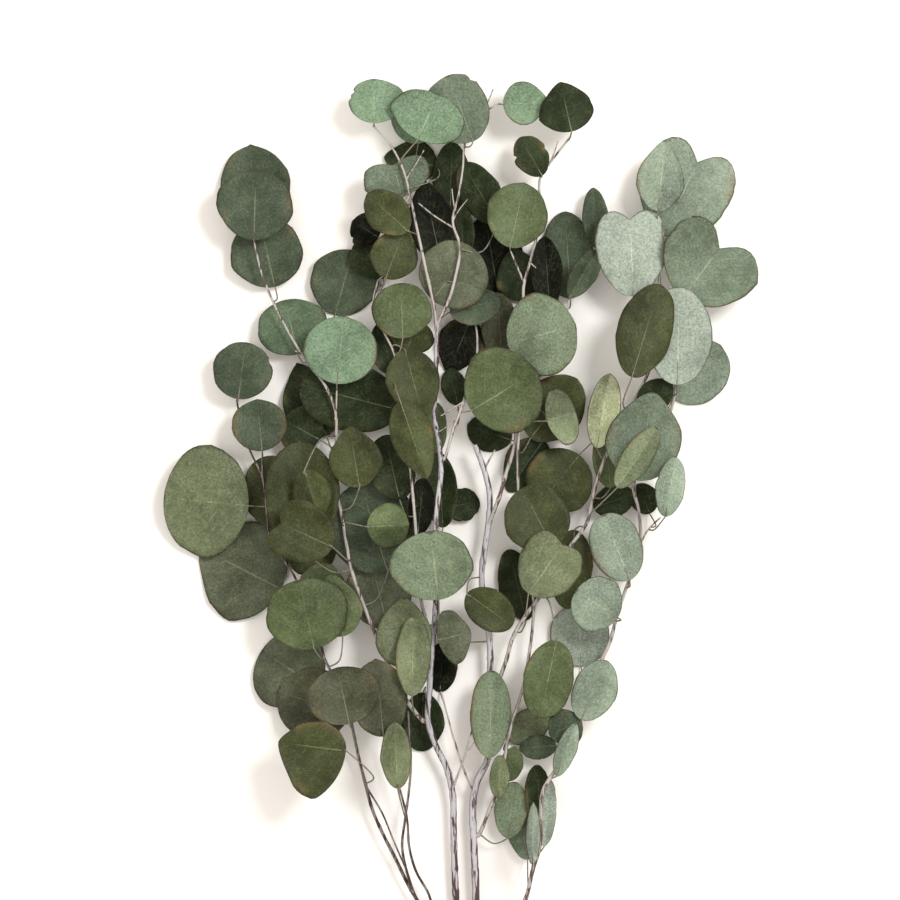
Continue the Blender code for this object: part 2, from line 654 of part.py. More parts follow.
def build():
    for existing in list(bpy.data.objects):
        bpy.data.objects.remove(existing)
    stems = lay_everything()
    for node, colour in node_colours.items():
        pieces = []
        for name, laid in stems.items():
            if laid["node"] == node:
                pieces.append(make_object(node, *tube_mesh(laid["route"], laid["sides"])))
        for item in growth:
            if item["kind"] == "leaf" and stems[item["on"]]["node"] == node:
                pieces.append(make_object("blade", *blade_mesh(item["rows"])))
                pieces.append(make_object("stalk", *tube_mesh(stalk_route(item, stems), 3)))
        fuse(pieces[0], pieces[1:])
        tidy(pieces[0])
        pieces[0].name = node
        pieces[0].data.name = node
        finish_material(pieces[0], colour, 0.6)


build()
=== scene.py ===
import json
import math
import random

import bpy
import numpy as np
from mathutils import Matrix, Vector

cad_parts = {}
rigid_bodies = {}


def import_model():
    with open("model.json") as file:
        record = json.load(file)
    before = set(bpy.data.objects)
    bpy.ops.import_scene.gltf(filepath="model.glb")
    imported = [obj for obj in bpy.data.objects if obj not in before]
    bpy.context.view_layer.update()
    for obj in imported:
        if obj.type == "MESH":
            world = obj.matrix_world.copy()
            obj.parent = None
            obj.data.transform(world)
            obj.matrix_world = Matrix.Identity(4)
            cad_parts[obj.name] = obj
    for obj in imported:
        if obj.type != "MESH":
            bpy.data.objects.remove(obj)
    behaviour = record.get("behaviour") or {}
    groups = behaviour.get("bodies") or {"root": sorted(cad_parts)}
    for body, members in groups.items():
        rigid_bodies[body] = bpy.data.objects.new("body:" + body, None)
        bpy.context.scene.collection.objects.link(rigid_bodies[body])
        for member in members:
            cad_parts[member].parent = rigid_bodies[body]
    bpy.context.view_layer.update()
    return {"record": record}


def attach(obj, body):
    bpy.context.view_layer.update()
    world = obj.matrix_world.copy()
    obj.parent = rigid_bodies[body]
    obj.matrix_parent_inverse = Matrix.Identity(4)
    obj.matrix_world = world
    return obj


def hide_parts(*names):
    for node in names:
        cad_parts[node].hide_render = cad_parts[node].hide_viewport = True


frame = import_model()
print("frame loaded")

# Layout shared with the solids, in metres
layout = dict(pixelSize=0.0007, centreX=457.5, centreY=588.0, bladeHalf=0.0004, jointGap=0.0004,
              layerGap=0.0016, routeStep=0.003, stationStep=0.019, stemSlope=0.45, leafRise=0.0015,
              restRun=0.06, riseRun=0.35, joinRun=0.012, joinTrials=10, cellSize=0.0015,
              cellColumns=380, cellRows=580)
rowPlaces = (0.0, 0.1, 0.35, 0.68, 0.92, 1.0)
rowWidths = dict(round=(0.0, 0.58, 0.96, 0.95, 0.55, 0.0), point=(0.0, 0.58, 0.97, 0.84, 0.34, 0.0),
                 heart=(0.0, 0.56, 0.95, 1.0, 0.56, 0.0))
heartEdges = (0.0, 0.1, 0.38, 0.76, 1.0, 1.0)
heartRibs = (0.0, 0.1, 0.36, 0.68, 0.92, 1.0)
smallWidth = 45
smallPlaces = (0.0, 0.12, 0.5, 0.88, 1.0)
smallWidths = (0.0, 0.6, 1.0, 0.6, 0.0)
pile = np.zeros((layout["cellColumns"], layout["cellRows"]))


def stem(name, node, parent, radii, heights, points, sides=5, butt=False):
    return dict(kind="stem", name=name, node=node, parent=parent, radii=radii,
                heights=heights, points=points, sides=sides, butt=butt)


def leaf(on, base, tip, width, tone, **shape):
    return dict(kind="leaf", on=on, base=base, tip=tip, width=width, tone=tone, shape=shape)


# Everything in the order it lies, from the surface upwards, by places in the picture
growth = [
    leaf("p", (254, 232), (249, 144), 70, "forest", form="round", lean=(0.95, 1.05)),
    leaf("p", (274, 286), (258, 218), 71, "forest"),
    leaf("p", (334, 314), (352, 249), 66, "forest"),
    leaf("p", (297, 354), (284, 299), 69, "jade"),
    leaf("p", (326, 436), (296, 364), 62, "night"),
    leaf("p", (320, 440), (283, 420), 50, "night"),
    leaf("a2", (280, 590), (199, 549), 110, "drab"),
    leaf("a2", (285, 530), (262, 457), 62, "moss"),
    leaf("p", (336, 550), (284, 548), 54, "moss"),
    leaf("p", (348, 596), (296, 596), 66, "olive"),
    leaf("a2", (318, 690), (260, 652), 84, "drab"),
    leaf("a2", (350, 715), (278, 693), 70, "umber"),
    leaf("p", (388, 628), (370, 556), 64, "drab"),
    leaf("p", (388, 572), (360, 482), 90, "forest", form="round"),
    leaf("m1", (445, 508), (480, 502), 36, "night"),
    leaf("o", (422, 472), (438, 404), 30, "olive"),
    leaf("o", (400, 410), (300, 385), 68, "night", form="round"),
    leaf("o", (400, 500), (385, 435), 46, "night"),
    leaf("o", (382, 275), (358, 238), 44, "night"),
    leaf("n", (471, 318), (448, 372), 48, "deepShade"),
    leaf("c2", (500, 300), (485, 215), 60, "deepShade"),
    leaf("c2", (525, 300), (514, 247), 50, "night"),
    leaf("c2", (512, 440), (468, 425), 40, "night"),
    leaf("v", (544, 440), (508, 492), 48, "night"),
    leaf("v", (531, 438), (577, 379), 58, "moss"),
    leaf("q", (580, 455), (540, 505), 68, "moss"),
    leaf("q", (527, 622), (509, 550), 38, "night"),
    leaf("v", (571, 298), (566, 210), 50, "forest"),
    leaf("v", (597, 247), (594, 187), 26, "forest"),
    leaf("v", (550, 308), (545, 236), 32, "deepShade"),
    leaf("q", (664, 234), (706, 146), 92, "mist", form="heart", notch=0.16),
    leaf("m1", (443, 528), (438, 452), 34, "night"),
    leaf("r", (675, 398), (722, 345), 64, "mist"),
    leaf("r4", (651, 514), (640, 484), 30, "night"),
    leaf("q", (594, 508), (635, 494), 34, "night"),
    leaf("q", (611, 488), (605, 430), 32, "olive"),
    leaf("r", (582, 668), (580, 605), 60, "pale"),
    leaf("v", (508, 742), (551, 714), 34, "fern"),
    leaf("r", (557, 747), (520, 750), 26, "forest"),
    leaf("r", (528, 862), (518, 797), 34, "slate"),
    leaf("v", (508, 840), (515, 783), 34, "sage"),
    leaf("r", (541, 828), (537, 766), 30, "night"),
    leaf("r", (544, 846), (550, 780), 18, "pale"),
    leaf("k", (423, 694), (421, 754), 44, "night"),
    leaf("f1", (437, 164), (384, 155), 46, "night"),
    leaf("f2", (450, 216), (452, 140), 40, "night"),
    leaf("f2", (498, 222), (463, 162), 42, "night"),
    leaf("f2", (463, 262), (462, 205), 24, "night"),
    leaf("o", (378, 236), (352, 220), 38, "deepShade"),
    leaf("f1", (418, 142), (412, 90), 50, "bright"),
    leaf("f2", (441, 262), (423, 180), 50, "deepShade"),
    leaf("c2", (503, 365), (497, 292), 38, "umber"),
    leaf("o", (392, 375), (381, 322), 34, "night"),
    leaf("o", (406, 352), (418, 320), 46, "moss"),
    leaf("n", (458, 405), (450, 368), 26, "night"),
    leaf("o", (418, 535), (424, 478), 28, "deepShade"),
    leaf("q", (575, 530), (568, 610), 44, "moss"),
    leaf("k4", (440, 694), (443, 644), 32, "deepShade"),
    leaf("v", (509, 782), (515, 748), 24, "olive"),
    stem("m1", "main_stem", None, (0.0033, 0.0021), (0.0033 * math.cos(math.pi / 8), 0.020), [
        (470, 1100), (469, 1050), (468, 1000), (460, 950), (456, 900), (454, 850), (453, 800),
        (450, 778), (436, 747), (428, 727), (429, 700), (432, 650), (436, 600), (436, 525),
        (438, 500), (441, 475), (440, 450), (435, 425), (435, 400), (436, 370), (437, 335)], 8),
    stem("c", "middle_limb", "m1", (0.0029, 0.0020), (0.006, 0.018), [
        (468, 1010), (474, 950), (476, 900), (475, 870), (473, 800), (481, 776), (488, 757),
        (490, 668), (490, 640), (483, 595), (482, 570), (489, 520), (489, 485), (480, 460),
        (475, 445)], 6),
    stem("a", "low_left_limb", "m1", (0.0018, 0.0013), (0.006, 0.012), [
        (463, 990), (440, 950), (416, 900), (404, 880), (395, 860), (380, 830), (366, 795),
        (365, 785)]),
    stem("a2", "low_left_limb", "a", (0.0013, 0.0008), (0.012, 0.014), [
        (366, 788), (362, 770), (354, 745), (353, 722), (340, 690), (326, 662), (305, 610),
        (296, 580), (270, 538), (266, 510), (262, 478), (246, 443), (237, 410), (236, 399)]),
    stem("a3", "low_left_limb", "a2", (0.0009, 0.0007), (0.014, 0.014), [
        (262, 478), (262, 465), (262, 451)], 4),
    stem("d", "low_left_limb", "a", (0.0012, 0.0009), (0.010, 0.014), [
        (416, 900), (409, 880), (402, 855), (405, 820), (408, 800), (411, 760), (409, 730),
        (408, 712)], 4),
    stem("d2", "low_left_limb", "a", (0.0012, 0.0009), (0.010, 0.014), [
        (440, 950), (430, 900), (419, 880), (410, 855), (407, 820), (398, 785), (390, 765),
        (385, 742)], 4),
    stem("b", "low_left_limb", "a", (0.0008, 0.0007), (0.012, 0.012), [
        (366, 788), (380, 810), (392, 838), (405, 868)], 4),
    stem("k4", "middle_limb", "c", (0.0009, 0.0007), (0.016, 0.016), [
        (473, 797), (462, 765), (457, 750), (447, 715), (441, 692)], 4),
    stem("k2", "main_stem", "m1", (0.0010, 0.0007), (0.016, 0.018), [
        (453, 792), (457, 779), (466, 752), (472, 730)], 4),
    stem("k", "main_stem", "m1", (0.0009, 0.0007), (0.012, 0.014), [
        (428, 727), (425, 715), (425, 702), (425, 690)], 4),
    stem("p", "left_limb", "m1", (0.0018, 0.0009), (0.012, 0.020), [
        (428, 729), (415, 712), (406, 700), (393, 675), (378, 640), (362, 600), (352, 570),
        (347, 545), (342, 515), (336, 480), (336, 440), (338, 420), (323, 381), (303, 357),
        (285, 325), (275, 306), (262, 275), (254, 240)]),
    stem("p2", "left_limb", "p", (0.0009, 0.0007), (0.018, 0.020), [
        (338, 420), (342, 408), (338, 395), (337, 384)], 4),
    stem("o", "upper_left_twig", "m1", (0.0015, 0.0008), (0.012, 0.020), [
        (431, 635), (421, 600), (418, 560), (415, 515), (409, 455), (404, 430), (399, 400),
        (397, 370), (392, 345), (382, 328), (372, 300), (372, 288), (378, 280)]),
    stem("n", "centre_twig", "m1", (0.0013, 0.0008), (0.016, 0.020), [
        (442, 475), (448, 445), (456, 424), (463, 402), (472, 375), (478, 350), (474, 312)], 4),
    stem("c2", "middle_limb", "c", (0.0018, 0.0009), (0.016, 0.022), [
        (489, 525), (495, 510), (503, 485), (510, 460), (515, 445), (517, 432), (514, 390),
        (508, 345), (521, 325), (524, 290), (523, 283), (530, 262), (537, 235), (541, 190),
        (540, 175), (545, 163), (562, 152), (571, 136)]),
    stem("x", "middle_limb", "c2", (0.0009, 0.0007), (0.022, 0.022), [
        (523, 283), (518, 265), (510, 250)], 4),
    stem("v", "inner_limb", "c", (0.0016, 0.0009), (0.012, 0.022), [
        (475, 862), (481, 830), (487, 815), (498, 792), (510, 730), (520, 700), (527, 670),
        (534, 608), (528, 560), (519, 500), (519, 435), (530, 400), (552, 350), (568, 310),
        (571, 290)]),
    stem("v2", "inner_limb", "v", (0.0008, 0.0006), (0.022, 0.022), [
        (570, 300), (580, 287), (595, 270), (597, 250)], 4),
    stem("q", "sweeping_limb", "c", (0.0018, 0.0010), (0.016, 0.024), [
        (489, 722), (497, 683), (505, 665), (512, 640), (520, 622), (537, 602), (552, 575),
        (567, 550), (585, 528), (592, 500), (598, 480), (603, 462), (615, 437), (632, 405),
        (640, 388), (655, 360), (658, 342), (660, 310), (660, 278), (659, 255), (664, 233),
        (657, 214)]),
    stem("r", "right_limb", "m1", (0.0020, 0.0012), (0.004, 0.022), [
        (469, 1045), (485, 1000), (500, 960), (527, 895), (532, 870), (538, 850), (541, 830),
        (540, 800), (548, 780), (568, 752), (578, 735), (582, 718), (590, 690), (602, 660),
        (612, 638), (617, 617), (626, 590), (638, 555), (641, 520), (634, 495), (634, 480),
        (648, 455), (660, 430), (670, 413), (677, 384)]),
    stem("r4", "right_limb", "r", (0.0008, 0.0006), (0.020, 0.022), [
        (638, 557), (643, 545), (650, 520), (661, 517)], 4),
    leaf("c2", (542, 176), (520, 137), 34, "night", cup=0.5),
    leaf("p", (306, 552), (300, 442), 72, "moss", cup=0.3),
    leaf("a2", (343, 636), (331, 574), 50, "olive"),
    leaf("p", (360, 487), (350, 427), 55, "moss"),
    leaf("o", (405, 350), (424, 420), 54, "moss"),
    leaf("o", (386, 279), (405, 228), 50, "moss"),
    leaf("f2", (450, 312), (500, 300), 38, "forest"),
    leaf("c2", (508, 345), (575, 325), 82, "sage"),
    leaf("r", (665, 408), (645, 383), 40, "night"),
    leaf("q", (553, 548), (522, 488), 66, "moss"),
    leaf("r", (581, 720), (550, 735), 40, "forest"),
    leaf("f1", (402, 197), (392, 161), 68, "slate", form="heart", notch=0.12),
    leaf("f1", (432, 300), (475, 250), 72, "drab", cup=-0.1),
    leaf("p", (404, 668), (404, 597), 58, "fern"),
    stem("f1", "crown", "m1", (0.0018, 0.0009), (0.021, 0.026), [
        (437.1, 333.6), (437.4, 322), (432, 298), (425, 265), (415, 220), (405, 175), (391, 146),
        (380, 138), (373, 126)], butt=True),
    stem("f2", "crown", "f1", (0.0017, 0.0008), (0.022, 0.024), [
        (437.5, 326), (447, 306), (456, 275), (460, 245), (452, 230), (457, 205), (464, 160),
        (463, 150), (470, 130), (480, 115), (490, 107), (500, 103)]),
    stem("f3", "crown", "f2", (0.0008, 0.0006), (0.024, 0.024), [
        (453, 230), (440, 220), (428, 212), (418, 203)], 4),
    leaf("p", (254, 240), (256, 171), 75, "forest", form="round"),
    leaf("p2", (337, 384), (344, 317), 74, "bright"),
    leaf("a2", (238, 399), (245, 342), 60, "forest", form="round", cup=0.2),
    leaf("a3", (262, 451), (257, 400), 54, "forest", form="round"),
    leaf("a2", (248, 506), (163, 498), 110, "fern", form="round", cup=-0.12),
    leaf("p", (306, 470), (320, 516), 40, "moss", cup=-0.9),
    leaf("p", (334, 546), (277, 520), 60, "moss", form="heart", notch=0.1),
    leaf("a2", (315, 648), (300, 579), 84, "olive", form="round", cup=-0.25),
    leaf("d2", (384, 735), (376, 660), 56, "umber"),
    leaf("a2", (350, 722), (338, 666), 74, "umber", form="round"),
    leaf("a", (347, 748), (280, 740), 84, "moss", form="point", lean=(1.25, 0.65), cup=0.15),
    leaf("d", (398, 786), (395, 720), 30, "fern", cup=0.7),
    leaf("p", (412, 694), (414, 616), 36, "fern", cup=-0.7),
    leaf("p", (368, 526), (409, 524), 45, "olive", cup=-0.7),
    leaf("m1", (439, 598), (430, 530), 82, "sage", form="round", notch=0.05, lean=(1.05, 0.9)),
    leaf("c", (438, 640), (471, 632), 58, "drab"),
    leaf("c", (467, 593), (512, 626), 42, "moss"),
    leaf("o", (401, 402), (427, 478), 46, "moss", cup=-0.4),
    leaf("o", (403, 339), (401, 284), 59, "olive"),
    leaf("n", (471, 411), (535, 372), 88, "olive", cup=-0.1),
    leaf("v", (547, 421), (576, 412), 58, "lime", cup=0.4),
    leaf("q", (528, 593), (564, 541), 62, "fern", form="heart", notch=0.06, cup=-0.15),
    leaf("x", (510, 248), (524, 184), 60, "olive"),
    leaf("v", (570, 297), (597, 251), 26, "forest", cup=0.6),
    leaf("q", (633, 297), (629, 211), 68, "pale", form="heart", notch=0.1),
    leaf("q", (657, 212), (664, 142), 48, "mist", cup=-0.6),
    leaf("q", (682, 298), (729, 236), 98, "slate", form="heart", notch=0.2),
    leaf("r", (676, 385), (678, 288), 66, "pale", form="round"),
    leaf("q", (630, 378), (658, 286), 54, "moss", form="round", cup=-0.2),
    leaf("q", (597, 448), (610, 374), 32, "straw", cup=0.9),
    leaf("r", (634, 480), (652, 393), 80, "slate", cup=-0.3),
    leaf("q", (615, 487), (655, 428), 30, "lime", cup=-0.8),
    leaf("r4", (663, 516), (674, 457), 30, "mist", cup=0.5),
    leaf("r", (629, 580), (603, 514), 52, "mist", cup=-0.4),
    leaf("r", (617, 617), (575, 590), 56, "mist", cup=-0.5),
    leaf("r", (581, 719), (606, 660), 44, "mist"),
    leaf("q", (556, 640), (540, 717), 50, "olive"),
    leaf("r", (556, 775), (575, 722), 20, "mist", cup=0.8),
    leaf("c", (489, 757), (492, 670), 42, "sage", cup=-0.6),
    leaf("v", (498, 797), (500, 755), 20, "fern", cup=0.6),
    leaf("r", (532, 862), (533, 802), 14, "pale", cup=0.9),
    leaf("f1", (374, 124), (374, 80), 54, "bright", form="round", lean=(0.9, 1.15), cup=-0.2),
    leaf("f2", (473, 142), (448, 76), 68, "slate", form="round", lean=(1.1, 0.85)),
    leaf("f1", (418, 141), (438, 96), 76, "bright", form="round"),
    leaf("f2", (503, 105), (548, 103), 46, "bright"),
    leaf("c2", (571, 133), (560, 84), 57, "night", cup=-0.2),
    leaf("f1", (408, 232), (368, 196), 42, "moss"),
]


def place(point):
    return np.array([(point[0] - layout["centreX"]) * layout["pixelSize"],
                     (layout["centreY"] - point[1]) * layout["pixelSize"]])


def cells(points):
    size, wide, long = layout["cellSize"], layout["cellColumns"], layout["cellRows"]
    columns = np.clip((points[:, 0] / size + wide / 2).astype(int), 1, wide - 2)
    rows = np.clip((points[:, 1] / size + long / 2).astype(int), 1, long - 2)
    return columns, rows


# Heights the given points need to clear the pile
def clearance(points):
    columns, rows = cells(points)
    under = pile[columns, rows]
    return np.where(under > 0.0, under + layout["layerGap"], 0.0)


def raisePile(points, tops):
    columns, rows = cells(points)
    for columnShift in (-1, 0, 1):
        for rowShift in (-1, 0, 1):
            np.maximum.at(pile, (columns + columnShift, rows + rowShift), tops)


def curveThrough(knots, parts):
    dense = []
    for index in range(len(knots) - 1):
        before, first = knots[max(index - 1, 0)], knots[index]
        second, after = knots[index + 1], knots[min(index + 2, len(knots) - 1)]
        for part in range(parts):
            share = part / parts
            dense.append(0.5 * (2 * first + (second - before) * share
                                + (2 * before - 5 * first + 4 * second - after) * share ** 2
                                + (3 * first - before - 3 * second + after) * share ** 3))
    dense.append(knots[-1])
    return np.array(dense)


def flatLengths(points):
    return np.concatenate([[0.0], np.cumsum(np.hypot(*np.diff(points, axis=0).T))])


# Smooth curve through the given points, cut into equal steps
def smoothRoute(points, step):
    dense = curveThrough([place(point) for point in points], 8)
    lengths = flatLengths(dense)
    count = max(2, int(round(lengths[-1] / step)) + 1)
    marks = np.linspace(0.0, lengths[-1], count)
    return np.column_stack([np.interp(marks, lengths, dense[:, 0]),
                            np.interp(marks, lengths, dense[:, 1])]), marks


# Nearest place on a laid stem to a point: index of the station, share of the step, distance
def nearestOn(route, point):
    best = (0, 0.0, 1e9)
    for index in range(len(route) - 1):
        start = route[index][:2]
        run = route[index + 1][:2] - start
        share = float(np.clip(np.dot(point - start, run) / max(np.dot(run, run), 1e-12), 0, 1))
        distance = float(np.hypot(*(start + run * share - point)))
        if distance < best[2]:
            best = (index, share, distance)
    return best


def along(route, near):
    index, share = near[:2]
    return route[index] * (1 - share) + route[index + 1] * share


def standsClear(point, parentRoute, reach):
    near = nearestOn(parentRoute, point)
    return near[2] > along(parentRoute, near)[3] + layout["jointGap"] + reach


# Cut the start of a limb back until it stands clear of the stem of another node
def cutBack(item, parentRoute, fine, radii):
    keep = 0
    while keep < len(fine) - 3:
        near = nearestOn(parentRoute, fine[keep])[0]
        run = fine[keep + 1] - fine[keep]
        line = parentRoute[near + 1][:2] - parentRoute[near][:2]
        cosine = abs(np.dot(run, line)) / (np.hypot(*run) * np.hypot(*line))
        cosine *= math.cos(math.pi / item["sides"])
        if standsClear(fine[keep], parentRoute, radii[keep] * cosine):
            break
        keep += 1
    if keep == 0:
        return fine
    low, high = fine[keep - 1], fine[keep]
    for part in range(layout["joinTrials"]):
        trial = low + (high - low) * part / layout["joinTrials"]
        if standsClear(trial, parentRoute, radii[keep] * cosine):
            return np.vstack([trial, fine[keep:]])
    return fine[keep:]


# Lay a stem: each station clears what is under it, and slopes stay gentle
def layStem(item):
    fine, marks = smoothRoute(item["points"], layout["routeStep"])
    parent = stems.get(item["parent"])
    levelRun = 0.0 if parent is not None else layout["restRun"]
    shares = np.clip((marks - levelRun) / (marks[-1] - levelRun), 0, 1)
    thick, thin = item["radii"]
    radii = thick + (thin - thick) * shares
    if parent is not None:
        joint = along(parent["route"], nearestOn(parent["route"], fine[0]))
        startHeight = joint[2]
        if parent["node"] != item["node"] and not item["butt"]:
            cut = cutBack(item, parent["route"], fine, radii)
            if cut is not fine:
                fine, marks = cut, flatLengths(cut)
                startHeight = along(parent["route"], nearestOn(parent["route"], fine[0]))[2]
                radii = thick + (thin - thick) * marks / marks[-1]
    total = marks[-1]
    runs = np.gradient(fine, axis=0)
    runs /= np.hypot(runs[:, 0], runs[:, 1])[:, None]
    across = np.column_stack([-runs[:, 1], runs[:, 0]])
    need = np.zeros(len(fine))
    for share in (-1.0, 0.0, 1.0):
        under = clearance(fine + across * radii[:, None] * share)
        need = np.maximum(need, np.where(under > 0, under + radii, 0.0))
    if parent is not None:
        need[marks < layout["joinRun"] * 0.5] = 0.0
    count = max(2, int(round(total / layout["stationStep"])) + 1)
    stations = np.linspace(0.0, total, count)
    rise = item["heights"][1] - item["heights"][0]
    heights = item["heights"][0] + rise * stations / total
    if parent is None:
        climb = np.clip((stations - layout["restRun"]) / layout["riseRun"], 0, 1)
        heights = item["heights"][0] + rise * climb
    step = total / (count - 1)
    for index in range(count):
        close = np.abs(marks - stations[index]) <= step * 1.02
        heights[index] = max(heights[index], need[close].max())
    if parent is not None:
        heights[0] = startHeight
        ramp = np.clip(stations / layout["joinRun"], 0, 1)
        heights = startHeight + (heights - startHeight) * ramp * (2 - ramp)
    for index in range(count):
        slack = heights - layout["stemSlope"] * np.abs(stations - stations[index])
        heights[index] = max(heights[index], slack.max() if parent is None or index else -1)
    fineHeights = np.interp(marks, stations, heights)
    for share in (-1.0, 0.0, 1.0):
        raisePile(fine + across * radii[:, None] * share, fineHeights + radii)
    route = np.column_stack([np.interp(stations, marks, fine[:, 0]),
                             np.interp(stations, marks, fine[:, 1]), heights,
                             np.interp(stations, marks, radii)])
    if parent is not None and parent["node"] == item["node"]:
        route[0, :3] = joint[:3]
    stems[item["name"]] = dict(node=item["node"], route=route)


# Rows of a blade: left edge, rib and right edge, with the base of the rib at height zero
def bladeRows(item, number):
    draw = random.Random(number * 7 + 3)
    shape = item["shape"]
    width = item["width"] * layout["pixelSize"] / 2
    base = place(item["base"])
    run = place(item["tip"]) - base
    length = float(np.hypot(*run))
    ahead = run / length
    left = np.array([-ahead[1], ahead[0]])
    narrow = item["width"] * layout["pixelSize"] < 0.5 * length
    pitch = draw.uniform(-0.08, 0.10)
    roll = draw.uniform(-0.14, 0.14)
    cup = shape.get("cup", 0.5 if narrow else draw.uniform(0.03, 0.22))
    droop = draw.uniform(-0.06, 0.14)
    turn = draw.uniform(0, 6.28)
    notch = shape.get("notch", 0.0)
    lean = shape.get("lean", (1.0, 1.0))
    places = ribs = rowPlaces
    form = shape.get("form", "point" if draw.random() < 0.3 and not notch else "round")
    widths = rowWidths[form]
    if item["width"] < smallWidth:
        places = ribs = smallPlaces
        widths, form = smallWidths, "small"
    if form == "heart":
        places, ribs = heartEdges, heartRibs
    rows, swells = [], []
    for placeOn, centre, share in zip(places, ribs, widths):
        if centre > 0.9:
            centre -= notch
        row, rowSwells = [], []
        for side in (1, 0, -1):
            swell = 1 + draw.uniform(-0.05, 0.05)
            rowSwells.append(swell)
            out = side * share * width * swell * lean[0 if side > 0 else 1]
            spot = base + ahead * length * (placeOn if side else centre) + left * out
            height = (pitch * length * placeOn + roll * out + cup * abs(out)
                      - droop * length * placeOn ** 2
                      + 0.0012 * abs(side) * math.sin(9 * placeOn + turn + side))
            row.append([spot[0], spot[1], height if share and side else
                        pitch * length * centre - droop * length * centre ** 2])
        rows.append(row)
        swells.append(rowSwells)
    item["form"] = dict(base=base, ahead=ahead, left=left, length=length, width=width, pitch=pitch,
                        roll=roll, cup=cup, droop=droop, turn=turn, notch=notch, outline=form,
                        lean=lean, places=places, swells=np.array(swells), order=number)
    return np.array(rows)


def bladeSamples(rows):
    samples = []
    for index in range(len(rows) - 1):
        for part in (0.0, 0.25, 0.5, 0.75, 1.0):
            edgeLeft, rib, edgeRight = rows[index] * (1 - part) + rows[index + 1] * part
            for share in np.linspace(0, 1, 9):
                samples.append(rib * (1 - share) + edgeLeft * share)
                samples.append(rib * (1 - share) + edgeRight * share)
    return np.array(samples)


# Lay a blade on the pile
def layLeaf(item, number):
    rows = bladeRows(item, number)
    samples = bladeSamples(rows)
    level = -samples[:, 2].min() + layout["bladeHalf"]
    if item["on"] in stems:
        route = stems[item["on"]]["route"]
        spot = along(route, nearestOn(route, rows[0, 1, :2]))
        level = max(level, spot[2] + layout["leafRise"])
    need = clearance(samples) + layout["bladeHalf"] * 1.3 - samples[:, 2]
    level = max(level, need.max())
    rows[:, :, 2] += level
    samples[:, 2] += level
    raisePile(samples, samples[:, 2] + layout["bladeHalf"])
    item["rows"] = rows
    item["form"]["level"] = level


stems = {}
for number, item in enumerate(growth):
    if item["kind"] == "stem":
        layStem(item)
    else:
        layLeaf(item, number)
print("layout done:", len(growth), "stems and leaves")


def tint(red, green, blue):
    channels = []
    for value in (red / 255, green / 255, blue / 255):
        channels.append(value / 12.92 if value <= 0.04045 else ((value + 0.055) / 1.055) ** 2.4)
    return (*channels, 1.0)


def feed(tree, socket, value):
    if isinstance(value, bpy.types.NodeSocket):
        tree.links.new(value, socket)
    else:
        socket.default_value = value


def addNode(tree, kind, inputs=(), **settings):
    made = tree.nodes.new("ShaderNode" + kind)
    for name, value in settings.items():
        setattr(made, name, value)
    for name, value in dict(inputs).items():
        feed(tree, made.inputs[name], value)
    return made


def compute(tree, operation, *values):
    return addNode(tree, "Math", enumerate(values), operation=operation).outputs[0]


def times(tree, first, second):
    return compute(tree, "MULTIPLY", first, second)


def timesPlus(tree, first, second, third):
    return compute(tree, "MULTIPLY_ADD", first, second, third)


def blendColours(tree, factor, first, second):
    return addNode(tree, "Mix", {0: factor, 6: first, 7: second}, data_type="RGBA").outputs[2]


# Lay a paint over a colour where the mask shows, as strong as its share
def wash(tree, colour, paint, mask, share):
    return blendColours(tree, times(tree, mask, share), colour, paint)


def band(tree, value, low, high):
    inputs = {"Value": value, "From Min": low, "From Max": high}
    return addNode(tree, "MapRange", inputs, interpolation_type="SMOOTHSTEP").outputs["Result"]


def mottle(tree, vector, scale, detail, roughness=0.55):
    inputs = dict(Vector=vector, Scale=scale, Detail=detail, Roughness=roughness)
    return addNode(tree, "TexNoise", inputs).outputs["Fac"]


def drawnOutMottle(tree, vector, scales, roughness):
    drawn = addNode(tree, "Mapping", dict(Vector=vector, Scale=scales)).outputs["Vector"]
    return mottle(tree, drawn, 1.0, 4.0, roughness)


def cellDistance(tree, vector, scale, feature):
    inputs = dict(Vector=vector, Scale=scale)
    return addNode(tree, "TexVoronoi", inputs, feature=feature).outputs["Distance"]


def split(tree, vector):
    return addNode(tree, "SeparateXYZ", {0: vector}).outputs


def emboss(tree, shader, look, relief):
    raised = addNode(tree, "Bump", dict(Strength=look["bump"], Distance=look["bumpDepth"], Height=relief))
    tree.links.new(raised.outputs["Normal"], shader.inputs["Normal"])


def newFinish(name, roughness, specular):
    finish = bpy.data.materials.new(name)
    finish.use_nodes = True
    shader = finish.node_tree.nodes["Principled BSDF"]
    shader.inputs["Roughness"].default_value = roughness
    shader.inputs["Specular IOR Level"].default_value = specular
    return finish, finish.node_tree, shader


# Blade finishes: body, bloom and shadow colours of each tone
leafTones = dict(
    # The near-black first tone is painted shade: leaves laid low in the gaps between the leaves above,
    # where shade falls
    deepShade=((13, 16, 6), (30, 33, 22), (9, 11, 4)),
    # The dark green second tone is partly the leaves' own colour and partly painted shade for leaves
    # lying under others
    night=((35, 43, 23), (52, 60, 40), (25, 31, 16)),
    umber=((59, 59, 40), (79, 81, 62), (47, 48, 33)),
    drab=((80, 85, 63), (93, 98, 78), (59, 63, 46)),
    forest=((58, 68, 49), (74, 83, 65), (43, 50, 36)),
    moss=((53, 57, 25), (68, 73, 42), (39, 42, 19)),
    olive=((73, 83, 50), (86, 96, 67), (53, 61, 37)),
    fern=((98, 105, 75), (108, 116, 88), (72, 77, 55)),
    lime=((99, 107, 79), (107, 116, 91), (73, 79, 59)),
    straw=((156, 160, 125), (160, 165, 134), (115, 118, 92)),
    sage=((101, 113, 87), (110, 122, 97), (75, 84, 63)),
    bright=((106, 127, 99), (118, 138, 112), (79, 95, 73)),
    jade=((75, 91, 66), (90, 106, 82), (54, 67, 47)),
    slate=((93, 104, 84), (106, 118, 99), (70, 80, 64)),
    mist=((121, 133, 114), (131, 142, 124), (91, 100, 86)),
    pale=((142, 151, 136), (147, 156, 141), (105, 112, 101)))
